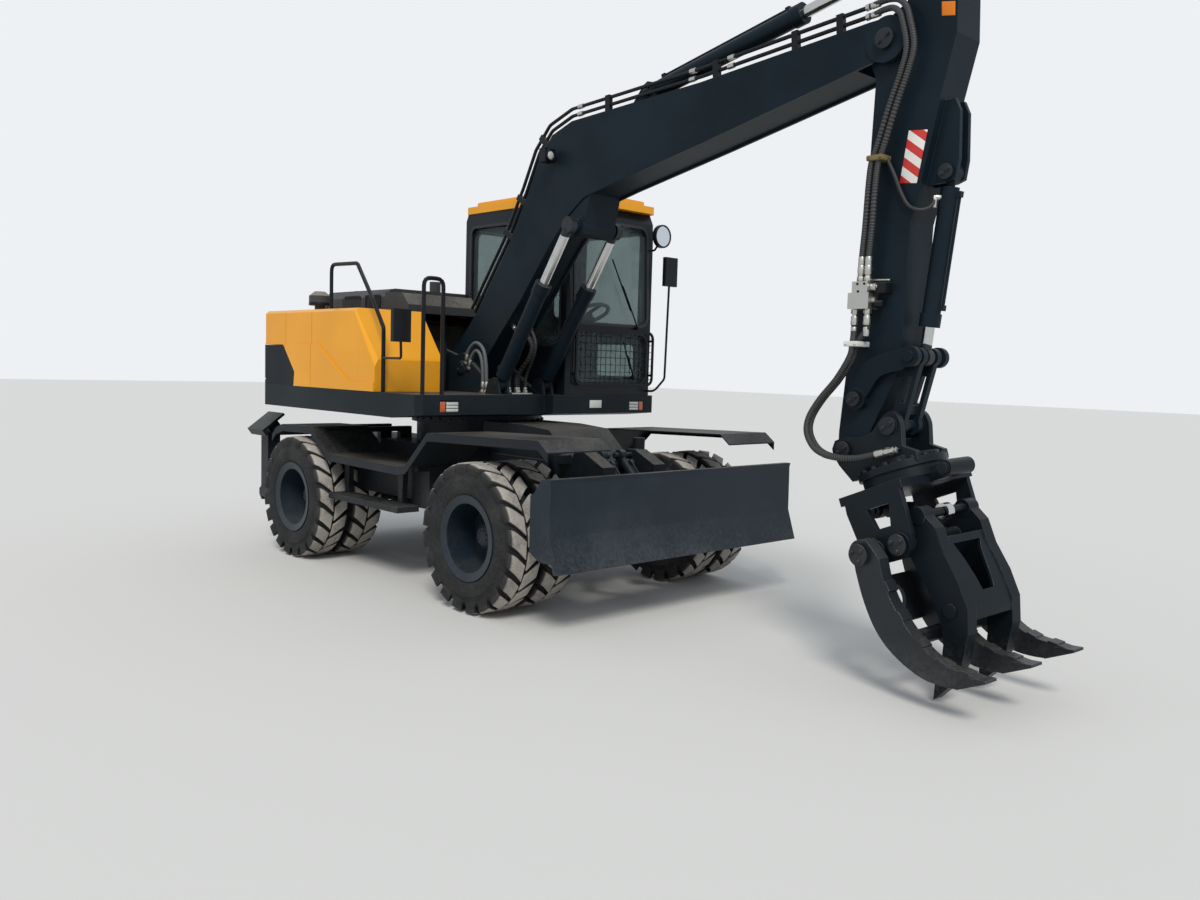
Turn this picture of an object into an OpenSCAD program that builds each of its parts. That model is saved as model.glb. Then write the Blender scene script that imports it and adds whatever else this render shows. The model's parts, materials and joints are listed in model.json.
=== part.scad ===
// Wheeled excavator with a log grab, at full size in mm.
// X points forward, Y to the machine's left, Z up; the ground is Z = 0.
// Sizes along X are measured from the slew axis.

/* [Running gear] */
// Distance between the front and rear axles
wheelbase = 2560; // [2400:10:2700]
// Front axle, ahead of the slew axis
front_axle_x = 1557; // [1450:1:1650]
// Outside diameter of a tyre, to the tips of its lugs
tyre_od = 1054; // [1000:2:1100]
// Width of one tyre
tyre_w = 272; // [240:2:280]
// Gap between the two tyres of a twin wheel
twin_gap = 54; // [40:1:80]
// Outer face of the outer tyres, from the middle plane
tyre_face_y = 1246; // [1200:1:1280]
// Diameter of the rim where the tyre's bead sits
rim_d = 508; // [480:1:520]
// Diameter of the rim's flange
flange_d = 598; // [540:1:600]
// Kingpin of a steered wheel, from the middle plane
kingpin_y = 690; // [670:1:720]
// Diameter of a kingpin
kingpin_d = 60; // [50:1:70]

/* [Chassis] */
// Half width of the main frame's box
frame_half_w = 330; // [300:1:345]
// Gap between the axles and the main frame
frame_gap = 33; // [20:1:70]
// Height of the main frame
frame_h = 290; // [260:1:330]
// Rear end of the main frame
frame_rear_x = -1640; // [-1700:5:-1600]
// Front end of the main frame
frame_front_x = 1960; // [1900:5:2000]
// Radius of the drum that carries the slewing ring
drum_r = 520; // [480:5:560]
// Outer edge of the wings, from the middle plane
wing_y = 1180; // [1150:1:1200]
// Inner edge of the wings over the wheels
wing_in_y = 620; // [560:1:680]
// Thickness of the wings' plate
wing_t = 10; // [6:1:16]
// Height of the folded lip along a wing's outer edge
lip_h = 62; // [40:1:80]
// Height of the step bar above the ground
step_z = 575; // [540:1:620]

/* [Blade] */
// Half width of the blade
blade_half_w = 1242; // [1200:1:1250]
// Back of the blade's plate
blade_x = 2412; // [2400:1:2440]
// Lower edge of the blade, as parked
blade_z0 = 430; // [380:5:460]
// Height of the blade
blade_h = 592; // [540:2:640]
// Thickness of the blade's plate
blade_t = 30; // [20:1:40]
// Height of the blade's bend above its edge
blade_bend = 225; // [150:5:260]
// How far the edge stands ahead of the bend
blade_toe = 78; // [30:2:100]
// Length of the blade's carrying links
link_len = 600; // [560:5:640]
// Angle of the carrying links above level, as parked
link_up = 28; // [20:1:32]
// Height of the lower links' pivot
link_z = 395; // [370:1:420]
// Height of the upper links' pivot over the lower one
link_gap = 232; // [200:1:260]

/* [Stabilizers] */
// Hinge of a stabilizer's leg, from the middle plane
stab_y = 1060; // [1020:5:1090]
// Height of the hinge
stab_z = 470; // [440:5:500]
// Middle of the legs, behind the slew axis
stab_x = -1775; // [-1800:5:-1760]
// Length of a leg, from the hinge to its pad's pin
stab_len = 600; // [560:5:640]

/* [Upper structure] */
// Underside of the deck
deck_z0 = 1305; // [1300:1:1320]
// Top of the deck
deck_z1 = 1490; // [1470:1:1500]
// Front face of the deck
deck_front_x = 951; // [930:1:970]
// Half width of the deck and the counterweight
body_half_w = 1240; // [1200:1:1245]
// Radius that the tail sweeps
tail_r = 1958; // [1900:1:2000]
// Top of the side body
hood_z = 2140; // [2080:5:2180]
// Inner face of the right side body, from the middle plane
side_in_y = -600; // [-660:5:-560]
// Top of the engine cover in the middle
cover_z = 2360; // [2300:5:2400]

/* [Cab] */
// Right face of the cab
cab_y0 = 227; // [215:1:240]
// Left face of the cab
cab_y1 = 1225; // [1200:1:1235]
// Rear face of the cab
cab_x0 = -528; // [-550:1:-500]
// Front face of the cab
cab_x1 = 915; // [890:1:930]
// Top of the cab's frame, under the roof cap
cab_z1 = 3075; // [3040:1:3100]
// Height of the roof cap
roof_h = 105; // [80:1:120]
// Thickness of the cab's walls and pillars
cab_t = 62; // [50:1:80]

/* [Boom] */
// Middle plane of the boom and arm
tool_y = -130; // [-150:1:-110]
// Width of the boom over its side plates
boom_w = 330; // [300:2:350]
// Width of the arm over its side plates
arm_w = 250; // [220:2:280]
// Outside diameter of the large cylinders
barrel_d = 116; // [100:1:130]
// Diameter of the cylinders' rods
rod_d = 72; // [60:1:80]

/* [Grab] */
// Forward tilt of the grab's turning axis, as parked
grab_tilt = 22; // [18:1:26]
// Turn of the grab about its axis, as parked
grab_turn = -8; // [-20:1:20]
// Distance between neighbouring tines
tine_pitch = 400; // [370:2:420]
// Thickness of a tine or finger
tine_t = 78; // [60:1:90]

/* [Hidden] */
$fn = 48;

// Slew axis, so that the origin is below the outline's middle
slew_x = -1577;
// Clearance of a pin in its bore
pin_gap = 0.1;
// Gap beside a moving piece
side_gap = 6;
// Gap between two pieces that bear on each other
seat = 0.3;
rear_axle_x = front_axle_x - wheelbase;
wheel_r = tyre_od / 2;
axle_top = 160;
frame_z0 = wheel_r + axle_top + frame_gap;
frame_z1 = frame_z0 + frame_h;

// Points of the boom and its linkage in the X-Z plane
boom_foot = [230, 1690];
boom_tip = [4070, 3570];
lift_foot = [770, 1568];
lift_eye = [1560, 2755];
arm_cyl_foot = [2150, 3650];
arm_cyl_eye = [4330, 4095];
arm_nose = [3930, 1297];
tip_cyl_foot = [4414, 2832];
rocker_pin = [3985, 1593];
rocker_eye = [4310, 1840];
head_pin = [4212, 1454];
lift_half = 230;
// Top of the grab's slewing ring, on its axis
ring_at = [4205, 1225];

function unit(v) = v / norm(v);
function dir_angle(p, q) = atan2(q[1] - p[1], q[0] - p[0]);
function along(p, q, s) = p + unit(q - p) * s;

// A disc or pin across the machine: centre in X-Z, from y0 to y1
module disc(at, d, y0, y1) {
    translate([at[0], y1, at[1]]) rotate([90, 0, 0]) cylinder(h = y1 - y0, d = d);
}

// A plate whose outline lies in the X-Z plane, from y0 to y1
module plate(points, y0, y1) {
    translate([0, y1, 0]) rotate([90, 0, 0]) linear_extrude(y1 - y0) polygon(points);
}

// A straight web between two pins, from y0 to y1
module web(p, q, w0, w1, y0, y1) {
    a = dir_angle(p, q);
    n = [-sin(a), cos(a)];
    plate([p + n * w0 / 2, p - n * w0 / 2, q - n * w1 / 2, q + n * w1 / 2], y0, y1);
}

// A round bar between two points in space
module bar(p, q, d) {
    v = q - p;
    translate(p) rotate([0, acos(v[2] / norm(v)), atan2(v[1], v[0])]) cylinder(h = norm(v), d = d);
}

module mirror_y() {
    mirror([0, 1, 0]) children();
}

module both_sides() {
    children();
    mirror_y() children();
}

module box(lo, hi) {
    translate(lo) cube(hi - lo);
}

// Round tube swept along a path, its corners eased
function arc_at(a, b, c, r, n) =
    let (u = unit(a - b), w = unit(c - b), g = acos(max(-1, min(1, u * w))),
         t = min(r / tan(g / 2), 0.48 * min(norm(a - b), norm(c - b))),
         p = b + u * t, q = b + w * t)
    [for (i = [0:n]) let (s = i / n) (1 - s) * (1 - s) * p + 2 * s * (1 - s) * b + s * s * q];
function eased(path, r, n = 4) =
    let (last = len(path) - 1)
    [path[0], for (i = [1:last - 1]) each arc_at(path[i - 1], path[i], path[i + 1], r, n), path[last]];
function tangent(p, i) = unit(p[min(i + 1, len(p) - 1)] - p[max(i - 1, 0)]);
function carry(n, a, b) =
    let (k = cross(a, b), s = norm(k))
    s < 0.000001 ? n : let (u = k / s, c = a * b) n * c + cross(u, n) * s + u * (u * n) * (1 - c);
function side_of(t) = unit(cross(t, abs(t[2]) < 0.9 ? [0, 0, 1] : [1, 0, 0]));
function frames(p, i) =
    i == 0 ? [side_of(tangent(p, 0))]
    : let (before = frames(p, i - 1)) concat(before, [carry(before[i - 1], tangent(p, i - 1), tangent(p, i))]);
module tube(path, d, sides = 8) {
    count = len(path);
    side = frames(path, count - 1);
    points = [for (i = [0:count - 1]) for (j = [0:sides - 1])
        let (t = tangent(path, i), a = 360 * j / sides)
        path[i] + d / 2 * (cos(a) * side[i] + sin(a) * cross(t, side[i]))];
    walls = [for (i = [0:count - 2]) for (j = [0:sides - 1])
        let (k = (j + 1) % sides)
        [i * sides + j, (i + 1) * sides + j, (i + 1) * sides + k, i * sides + k]];
    polyhedron(points, concat([[for (j = [0:sides - 1]) j]], walls,
        [[for (j = [sides - 1:-1:0]) (count - 1) * sides + j]]));
}

module from_slew() {
    translate([slew_x, 0, 0]) children();
}

// Chassis

drum_z1 = deck_z0 - seat;
oscillation_y = 440;

module chassis_frame() color("#343a40") from_slew() {
    difference() {
        union() {
            box([frame_rear_x, -frame_half_w, frame_z0], [nose_x, frame_half_w, frame_z1]);
            // Cheeks and middle web of the nose, round the blade's cylinders
            both_sides() box([nose_x - 1, blade_ear_y, frame_z0], [frame_front_x, frame_half_w, frame_z1]);
            box([nose_x - 1, -40, frame_z0], [nose_x + 130, 40, frame_z1]);
            both_sides() plate([[1600, frame_z1 - 5], [1650, 1105], [1750, 1105], [frame_front_x, frame_z1 - 5]],
                blade_ear_y, frame_half_w);
            // Drum and slewing ring
            translate([0, 0, frame_z1 - 20]) cylinder(h = drum_z1 - frame_z1 - 40, r = drum_r, $fn = 96);
            translate([0, 0, drum_z1 - 78]) cylinder(h = 78, r = drum_r + 45, $fn = 96);
            // Flared box under the ring
            plate([[-640, frame_z1 - 190], [640, frame_z1 - 190], [560, frame_z1 + 40], [-560, frame_z1 + 40]],
                -(wing_in_y - seat), wing_in_y - seat);
            // Sloping cover in front of the ring
            plate([[500, frame_z1 - 5], [500, 1262], [1010, 1262], [1330, 1240], [1610, frame_z1 - 5]], -310, 310);
            // Stabilizers' cross beam and its post
            box([stab_x - 85, -stab_beam_y, stab_z - 75], [stab_x + 85, stab_beam_y, stab_z + 75]);
            box([stab_x - 85, -235, stab_z + 70], [frame_rear_x + 5, 235, frame_z1]);
            // Blade's bracket plates
            both_sides() plate([[1730, frame_z0 + 5], [1730, 560], [1762, 345], [1838, 345], [1880, 560],
                [frame_front_x - 20, 740], [frame_front_x - 20, frame_z0 + 60]], blade_ear_y, blade_ear_y + 30);
        }
        // Bores for the blade links' pivot pins
        disc(blade_pivot, link_pin_d + 2 * pin_gap, -400, 400);
        disc(blade_pivot + [0, link_gap], link_pin_d + 2 * pin_gap, -400, 400);
    }
    both_sides() {
        stab_ears();
        // Pin of the blade cylinder's foot
        disc(blade_cyl_foot, link_pin_d, 30, blade_ear_y + 10);
    }
    // Axle saddles
    for (x = [front_axle_x, rear_axle_x])
        for (t = [-1, 1])
            box([x + t * 115 - 25, -140, saddle_z + seat], [x + t * 115 + 25, 140, frame_z0 + 10]);
    // Oscillation cylinders over the front axle
    both_sides() {
        translate([front_axle_x, oscillation_y, 880]) cylinder(h = 300, d = 96);
        translate([front_axle_x, oscillation_y, axle_pad_z + seat]) cylinder(h = 260, d = 56);
        box([front_axle_x - 60, frame_half_w - 5, 1010], [front_axle_x + 60, oscillation_y + 10, 1075]);
    }
}

blade_pivot = [1800, link_z];
// Rear end of the slots for the blade's cylinders
nose_x = 1610;
blade_ear_y = 205;
link_pin_d = 44;
saddle_z = wheel_r + axle_top;
axle_pad_z = wheel_r + 120;
stab_beam_y = stab_y - 85;
// Drawbar's pin hole in the tail plate
tow_r = 26;
tow_x = stab_x - 144;
tow_z = 500;
tow_t = 40;

stab_pin_d = 50;

module tow_eye() color("#343a40") from_slew() difference() {
    union() {
        box([stab_x - 100, -100, tow_z - 60], [stab_x - 85 - seat, 100, tow_z + 60]);
        box([tow_x, -58, tow_z - tow_t / 2], [stab_x - 86, 58, tow_z + tow_t / 2]);
        translate([tow_x, 0, tow_z - tow_t / 2]) cylinder(h = tow_t, d = 116);
    }
    translate([tow_x, 0, tow_z - 80]) cylinder(h = 160, r = tow_r);
}

module stab_ears() {
    difference() {
        for (t = [-1, 1])
            translate([stab_x + t * 95 - 15, 0, 0])
                rotate([90, 0, 90]) linear_extrude(30)
                    polygon([[stab_y - 180, stab_z - 75], [stab_y + 40, stab_z - 75], [stab_y + 60, stab_z - 20],
                        [stab_y + 60, stab_z + 30], [stab_y + 30, stab_z + 65], [stab_y - 180, stab_z + 75]]);
        translate([stab_x - 150, stab_y, stab_z]) rotate([0, 90, 0])
            cylinder(h = 300, d = stab_pin_d + 2 * pin_gap);
    }
    // Clevis for the leg's cylinder, with its pin
    for (t = [-1, 1])
        translate([stab_x + t * 43 - 8, 0, 0]) rotate([90, 0, 90]) linear_extrude(16)
            polygon([[225, 890], for (p = [[30, -35], [45, 0], [30, 35]]) stab_ram_foot + p, [225, 1005]]);
    translate([stab_x - 55, stab_ram_foot[0], stab_ram_foot[1]]) rotate([0, 90, 0]) cylinder(h = 110, d = 44);
}

// Upper outline of a wing along X, as [x, z]
wing_line = [[-1500, 1035], [-1420, 1105], [-1300, 1140], [-780, 1150], [-500, 945], [590, 930],
    [700, 950], [985, 1215], [2240, 1250], [2330, 1180]];
// A smooth curve through points, with n steps between two
function curve(points, n = 3) =
    let (last = len(points) - 1)
    concat([for (i = [0:last - 1]) let (a = points[max(i - 1, 0)], b = points[i], c = points[i + 1],
            d = points[min(i + 2, last)])
        for (j = [0:n - 1]) let (t = j / n)
            (2 * b + (c - a) * t + (2 * a - 5 * b + 4 * c - d) * t * t + (3 * b - a - 3 * c + d) * t * t * t) / 2],
        [points[last]]);
function shifted(line, dx, dz) = [for (p = line) p + [dx, dz]];
function reversed(line) = [for (i = [len(line) - 1:-1:0]) line[i]];

module wings_and_steps() color("#3b4148") from_slew() both_sides() {
    plate(concat(wing_line, reversed(shifted(wing_line, 0, -wing_t))), wing_in_y, wing_y);
    plate(concat(wing_line, reversed(shifted(wing_line, 0, -lip_h))), wing_y - wing_t, wing_y);
    // Step bar, its tread and its brackets
    box([-455, 985, step_z], [600, wing_y, step_z + 45]);
    for (x = [-420, 400])
        plate([[x, step_z + 40], [x + 50, step_z + 40], [x + 70, 925], [x - 20, 925]], 1000, 1045);
    // Tool box under the wing
    box([455, 640, 600], [700, 960, 935]);
    box([-470, 640, 640], [430, 900, 925]);
    // Arms from the frame out to the wings
    box([640, frame_half_w + seat, 895], [690, 1060, 940]);
    for (x = [-1120, -780]) {
        box([x, 200, 1095], [x + 55, 1060, 1140]);
        box([x, 200, frame_z1 + seat], [x + 55, frame_half_w - 10, 1100]);
    }
}

module axle_beam(x, half) {
    translate([x, 0, wheel_r]) {
        sphere(r = 158);
        rotate([90, 0, 0]) cylinder(h = 2 * half, d = 180, center = true);
        both_sides() translate([0, 150, 0]) rotate([-90, 0, 0]) cylinder(h = 90, d1 = 290, d2 = 190);
        translate([0, 0, axle_top - 100]) cube([300, 280, 200], center = true);
        both_sides() box([-60, 390, 60], [60, 490, 120]);
    }
}

module front_axle() color("#2f343a") from_slew() {
    difference() {
        union() {
            axle_beam(front_axle_x, kingpin_y - 110);
            both_sides() {
                for (t = [-1, 1])
                    box([front_axle_x - 65, kingpin_y - 140, wheel_r + t * 140 - 25],
                        [front_axle_x + 65, kingpin_y + 42, wheel_r + t * 140 + 25]);
                translate([front_axle_x, kingpin_y - 130, wheel_r]) cube([130, 40, 330], center = true);
            }
        }
        both_sides() translate([front_axle_x, kingpin_y, wheel_r - 200])
            cylinder(h = 400, d = kingpin_d + 2 * pin_gap);
    }
    // Steering cylinder behind the beam
    translate([front_axle_x - 150, 0, wheel_r]) rotate([90, 0, 0]) {
        cylinder(h = 520, d = 76, center = true);
        cylinder(h = 900, d = 36, center = true);
    }
    box([front_axle_x - 160, -130, wheel_r - 30], [front_axle_x - 100, 130, wheel_r + 30]);
}

module rear_axle() color("#2f343a") from_slew() {
    axle_beam(rear_axle_x, wheel_inner_y + 60);
    both_sides() {
        disc([rear_axle_x, wheel_r], 300, wheel_inner_y + 50, disc_y - 30);
        disc([rear_axle_x, wheel_r], 120, disc_y - 31, disc_y - 8 - seat);
    }
}

// Wheels

outer_tyre_y = tyre_face_y - tyre_w / 2;
inner_tyre_y = outer_tyre_y - tyre_w - twin_gap;
wheel_inner_y = inner_tyre_y - tyre_w / 2;
hub_d = 210;
disc_y = outer_tyre_y - tyre_w / 2 - twin_gap / 2;

module knuckle() {
    translate([front_axle_x, kingpin_y, wheel_r]) {
        cylinder(h = 340, d = kingpin_d, center = true);
        cylinder(h = 2 * (140 - 25 - side_gap), d = 130, center = true);
    }
    // Drum that carries the hub
    disc([front_axle_x, wheel_r], 300, kingpin_y + 105, disc_y - 30);
    disc([front_axle_x, wheel_r], 150, kingpin_y + 40, kingpin_y + 107);
    disc([front_axle_x, wheel_r], 120, disc_y - 31, disc_y - 8 - seat);
}

module knuckle_left() color("#2f343a") from_slew() knuckle();
module knuckle_right() color("#2f343a") from_slew() mirror_y() knuckle();

// A tyre's lugs in each of two rows, and the tread's depth
lug_count = 16;
lug_depth = 34;
// Rings from bead to tread, as [radius, distance from the tyre's middle]
bead_ring = [rim_d / 2 / cos(180 / lug_count), tyre_w / 2 - 44];
side_ring = [tyre_od / 2 - 118, tyre_w / 2];
// Angles of a lug's corners in its pitch, at the shoulder and the middle
lug_at = [0.0, 0.08, 0.52, 0.60];
lug_lean = 0.55;

function ring(r, y, n, turn = 0) =
    [for (i = [0:n - 1]) let (a = 360 * (i + turn) / n) [r * cos(a), y, r * sin(a)]];
function lug_ring(r, y, turn) = [for (i = [0:lug_count - 1]) for (k = [0:3])
    let (a = 360 * (i + lug_at[k] + turn) / lug_count, q = r - (k == 0 || k == 3 ? lug_depth : 0))
    [q * cos(a), y, q * sin(a)]];
// Faces between two rings of na and nb points, where nb is na or four times na
function join_rings(a, na, b, nb) =
    na == nb ? [for (i = [0:na - 1]) let (j = (i + 1) % na) [a + i, a + j, b + j, b + i]]
    : na < nb ? [for (i = [0:na - 1]) let (j = (i + 1) % na)
        each concat([for (k = [0:3]) [a + i, b + (4 * i + k + 1) % nb, b + 4 * i + k]],
            [[a + i, a + j, b + (4 * i + 4) % nb]])]
    : [for (i = [0:nb - 1]) let (j = (i + 1) % nb)
        each concat([for (k = [0:3]) [b + i, a + 4 * i + k, a + (4 * i + k + 1) % na]],
            [[b + i, a + (4 * i + 4) % na, b + j]])];

module one_tyre(y) {
    n = lug_count;
    rings = [ring(bead_ring[0], -bead_ring[1], n), ring(side_ring[0], -side_ring[1], n),
        lug_ring(wheel_r - 10, -tyre_w / 2 + 8, 0), lug_ring(wheel_r, -14, lug_lean),
        ring(wheel_r - lug_depth, 0, n, lug_lean),
        lug_ring(wheel_r, 14, 0.5 + lug_lean), lug_ring(wheel_r - 10, tyre_w / 2 - 8, 0.5),
        ring(side_ring[0], side_ring[1], n, 0.5), ring(bead_ring[0], bead_ring[1], n, 0.5)];
    sizes = [for (r = rings) len(r)];
    starts = [for (i = 0, t = 0; i < len(rings); t = t + sizes[i], i = i + 1) t];
    last = len(rings) - 1;
    faces = [for (i = [0:last]) let (j = (i + 1) % len(rings))
        each join_rings(starts[i], sizes[i], starts[j], sizes[j])];
    translate([0, y, 0]) polyhedron([for (r = rings) each r], [for (f = faces) each
        len(f) == 3 ? [f] : [[f[0], f[1], f[2]], [f[0], f[2], f[3]]]]);
}

module tyres(x) {
    translate([x, 0, wheel_r]) {
        one_tyre(outer_tyre_y);
        one_tyre(inner_tyre_y);
    }
}

// Section of a twin rim, as [radius, distance from the middle plane]
module rims(x) {
    r = rim_d / 2 - 0.3;
    f = flange_d / 2;
    translate([x, 0, wheel_r]) rotate([-90, 0, 0]) {
        rotate_extrude($fn = 72)
            for (y = [outer_tyre_y, inner_tyre_y])
                polygon([[r - 12, y - tyre_w / 2 + 22], [f, y - tyre_w / 2 + 10], [f, y - tyre_w / 2 + 20],
                    [r, y - tyre_w / 2 + 44], [r, y + tyre_w / 2 - 44], [f, y + tyre_w / 2 - 20],
                    [f, y + tyre_w / 2 - 10], [r - 12, y + tyre_w / 2 - 22]]);
        rotate_extrude($fn = 72)
            polygon([[0, disc_y - 8], [r - 6, disc_y - 8], [r - 6, inner_tyre_y + 30], [r, inner_tyre_y + 30],
                [r, outer_tyre_y - 30], [r - 12, outer_tyre_y - 30], [r - 12, disc_y + 24],
                [hub_d / 2 + 30, disc_y + 10], [hub_d / 2, disc_y + 30], [hub_d / 2 - 15, disc_y + 125],
                [hub_d / 2 - 45, disc_y + 145], [0, disc_y + 145]]);
    }
}

module tyres_front_left() color("#222428") from_slew() tyres(front_axle_x);
module tyres_front_right() color("#222428") from_slew() mirror_y() tyres(front_axle_x);
module tyres_rear_left() color("#222428") from_slew() tyres(rear_axle_x);
module tyres_rear_right() color("#222428") from_slew() mirror_y() tyres(rear_axle_x);
module rims_front_left() color("#3a4450") from_slew() rims(front_axle_x);
module rims_front_right() color("#3a4450") from_slew() mirror_y() rims(front_axle_x);
module rims_rear_left() color("#3a4450") from_slew() rims(rear_axle_x);
module rims_rear_right() color("#3a4450") from_slew() mirror_y() rims(rear_axle_x);

// Blade

link_reach = link_len * [cos(link_up), sin(link_up)];
blade_pin = blade_pivot + link_reach;
blade_cyl_foot = [1700, 1062];
blade_cyl_eye = blade_pivot + 0.7 * link_reach;
link_y = 268;

module blade_link(at, y0, y1, w) {
    difference() {
        union() {
            disc(at, w + 30, y0, y1);
            disc(at + link_reach, w + 30, y0, y1);
            web(at, at + link_reach, w, w, y0, y1);
        }
        disc(at + link_reach, link_pin_d + 2 * pin_gap, y0 - 1, y1 + 1);
    }
}

module blade_lower_links() color("#343a40") from_slew() both_sides() {
    blade_link(blade_pivot, 241, 296, 74);
    disc(blade_pivot, link_pin_d, blade_ear_y - 5, 242);
    // Pin stub beside the cylinder's eye
    disc(blade_cyl_eye, 44, 100 + ram_eye_half + side_gap, 245);
}

module blade_upper_links() color("#343a40") from_slew() both_sides() {
    blade_link(blade_pivot + [0, link_gap], 168, 199, 50);
    disc(blade_pivot + [0, link_gap], link_pin_d, 198, 238);
}

module blade() color("#3a4450") from_slew() {
    x = blade_x;
    z0 = blade_z0;
    z1 = blade_z0 + blade_h;
    plate([[x, z0 + blade_bend - 10], [x + blade_toe, z0], [x + blade_toe + blade_t + 2, z0],
        [x + blade_t + 6, z0 + blade_bend], [x + blade_t, z1 - 30], [x + blade_t + 8, z1], [x - 10, z1],
        [x, z1 - 30]], -blade_half_w, blade_half_w);
    both_sides() {
        // End plates, folded back, with a notch at the top
        plate([[x + blade_toe - 20, z0 + 60], [x + 5, z0 + blade_bend - 10], [x + 5, z1 - 5], [x - 50, z1 - 5],
            [x - 120, z1 - 95], [x - 160, z1 - 120],
            [x - 160, z0 + 110], [x - 60, z0 + 60]], blade_half_w - 22, blade_half_w);
        // Ears that the links' front pins pass through
        plate([[x + 5, z0 + 110], [x + 5, z1 - 20], [blade_pin[0] - 40, z1 - 40],
            [blade_pin[0] - 45, z0 + 200], [x - 60, z0 + 110]], blade_ear_y, blade_ear_y + 30);
        disc(blade_pin, link_pin_d, blade_ear_y - 1, 300);
        disc(blade_pin + [0, link_gap], link_pin_d, 162, blade_ear_y + 31);
        // Ribs on the plate's back
        for (y = [560, 900])
            plate([[x + 5, z0 + 150], [x + 5, z1 - 120], [x - 60, z1 - 120], [x - 55, z0 + 330]], y - 8, y + 8);
    }
    // Box sections behind the top edge
    both_sides() box([x - 70, blade_ear_y + 29, z1 - 120], [x + 2, blade_half_w - 30, z1 - 40]);
}

module blade_barrels() color("#343a40") from_slew() both_sides() {
    ram_barrel(blade_cyl_foot, blade_cyl_eye, 430, 84, 100, link_pin_d + 2 * pin_gap, 45);
}

module blade_rods() color("silver") from_slew() both_sides() {
    ram_rod(blade_cyl_foot, blade_cyl_eye, 400, 45, 100, 46);
}

ram_eye_half = 27;
// From a foot pin's edge to the wide end of the barrel
ram_neck = 44;

// A hydraulic cylinder: the barrel turns on its foot pin, and the rod ends in an eye
module ram_barrel(foot, eye, length, d, y, foot_d, rod) {
    from = foot_d / 2 + ram_neck;
    difference() {
        union() {
            disc(foot, foot_d + 44, y - ram_eye_half, y + ram_eye_half);
            ram_turned(foot, eye, y) {
                cylinder(h = from + 10, d = 2 * ram_eye_half - 6);
                translate([0, 0, from]) cylinder(h = length - 35 - from, d = d);
                translate([0, 0, length - 75]) cylinder(h = 75, d = d + 16);
                // Ports and the pipe between them
                translate([-d / 2 - 14, 0, 110]) cylinder(h = length - 220, d = 16);
                for (z = [110, length - 110])
                    translate([-d / 2 - 25, -16, z - 16]) cube([43, 32, 32]);
            }
        }
        disc(foot, foot_d, y - 40, y + 40);
        ram_turned(foot, eye, y) translate([0, 0, from + 24]) cylinder(h = length, d = rod + 2 * pin_gap);
    }
}

module ram_turned(foot, eye, y) {
    translate([foot[0], y, foot[1]]) rotate([0, 90 - dir_angle(foot, eye), 0]) children();
}

module ram_rod(foot, eye, start, d, y, eye_d) {
    span = norm(eye - foot);
    ram_turned(foot, eye, y) translate([0, 0, start]) cylinder(h = span - start - eye_d / 2, d = d);
    disc(eye, eye_d + 40, y - ram_eye_half, y + ram_eye_half);
}

// Stabilizers

stab_ram_foot = [300, 960];
stab_ram_eye = [945, 720];

module stab_leg() {
    translate([stab_x, 0, 0]) {
        difference() {
            translate([-70, stab_y - 60, stab_z]) cube([140, 120, stab_len]);
            translate([-ram_eye_half - side_gap, stab_y - 61, stab_z + 75])
                cube([2 * (ram_eye_half + side_gap), 106, stab_len - 160]);
            translate([-ram_eye_half - side_gap, stab_y - 61, stab_z + 30])
                cube([2 * (ram_eye_half + side_gap), 14, 60]);
        }
        translate([-74, stab_y, stab_z]) rotate([0, 90, 0]) cylinder(h = 148, d = 130);
        translate([-115, stab_y, stab_z]) rotate([0, 90, 0]) cylinder(h = 230, d = stab_pin_d);
        // Ears beside the cylinder's rod
        for (t = [-1, 1])
            translate([t * (ram_eye_half + side_gap + 9) - 9, 0, 0]) rotate([90, 0, 90]) linear_extrude(18)
                polygon([[stab_y - 50, stab_z + 90], [stab_ram_eye[0] - 30, stab_ram_eye[1] - 45],
                    [stab_ram_eye[0] - 45, stab_ram_eye[1]], [stab_ram_eye[0] - 30, stab_ram_eye[1] + 40],
                    [stab_y - 50, stab_z + 360]]);
        // Foot pad, its cheeks and pin
        translate([0, stab_y, stab_z + stab_len]) rotate([-37, 0, 0]) {
            translate([-155, -130, 66]) cube([310, 260, 22]);
            translate([-155, 110, 20]) cube([310, 20, 50]);
            for (t = [-1, 1]) translate([t * 90 - 12, -60, -40]) cube([24, 120, 110]);
        }
        translate([-110, stab_y, stab_z + stab_len]) rotate([0, 90, 0]) cylinder(h = 220, d = 60);
    }
}

module stab_barrel() {
    translate([stab_x, 0, 0]) rotate([0, 0, 90])
        ram_barrel(stab_ram_foot, stab_ram_eye, 560, 90, 0, 44 + 2 * pin_gap, 50);
}

module stab_rod() {
    translate([stab_x, 0, 0]) rotate([0, 0, 90])
        ram_rod(stab_ram_foot, stab_ram_eye, 500, 50, 0, 46);
}

module stabilizer_left() color("#343a40") from_slew() stab_leg();
module stabilizer_right() color("#343a40") from_slew() mirror_y() stab_leg();
module stabilizer_barrel_left() color("#343a40") from_slew() stab_barrel();
module stabilizer_barrel_right() color("#343a40") from_slew() mirror_y() stab_barrel();
module stabilizer_rod_left() color("silver") from_slew() stab_rod();
module stabilizer_rod_right() color("silver") from_slew() mirror_y() stab_rod();

// Upper structure

well_y0 = -385;
well_y1 = 52;
foot_plate_t = 40;
foot_plate_y = boom_w / 2 + side_gap;
boom_pin_d = 90;
lift_pin_d = 60;
lamp_y = [-960, 1010];
lamp_z = 1400;

module tail_disc(z0, z1) {
    translate([0, 0, z0]) cylinder(h = z1 - z0, r = tail_r, $fn = 128);
}

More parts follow.
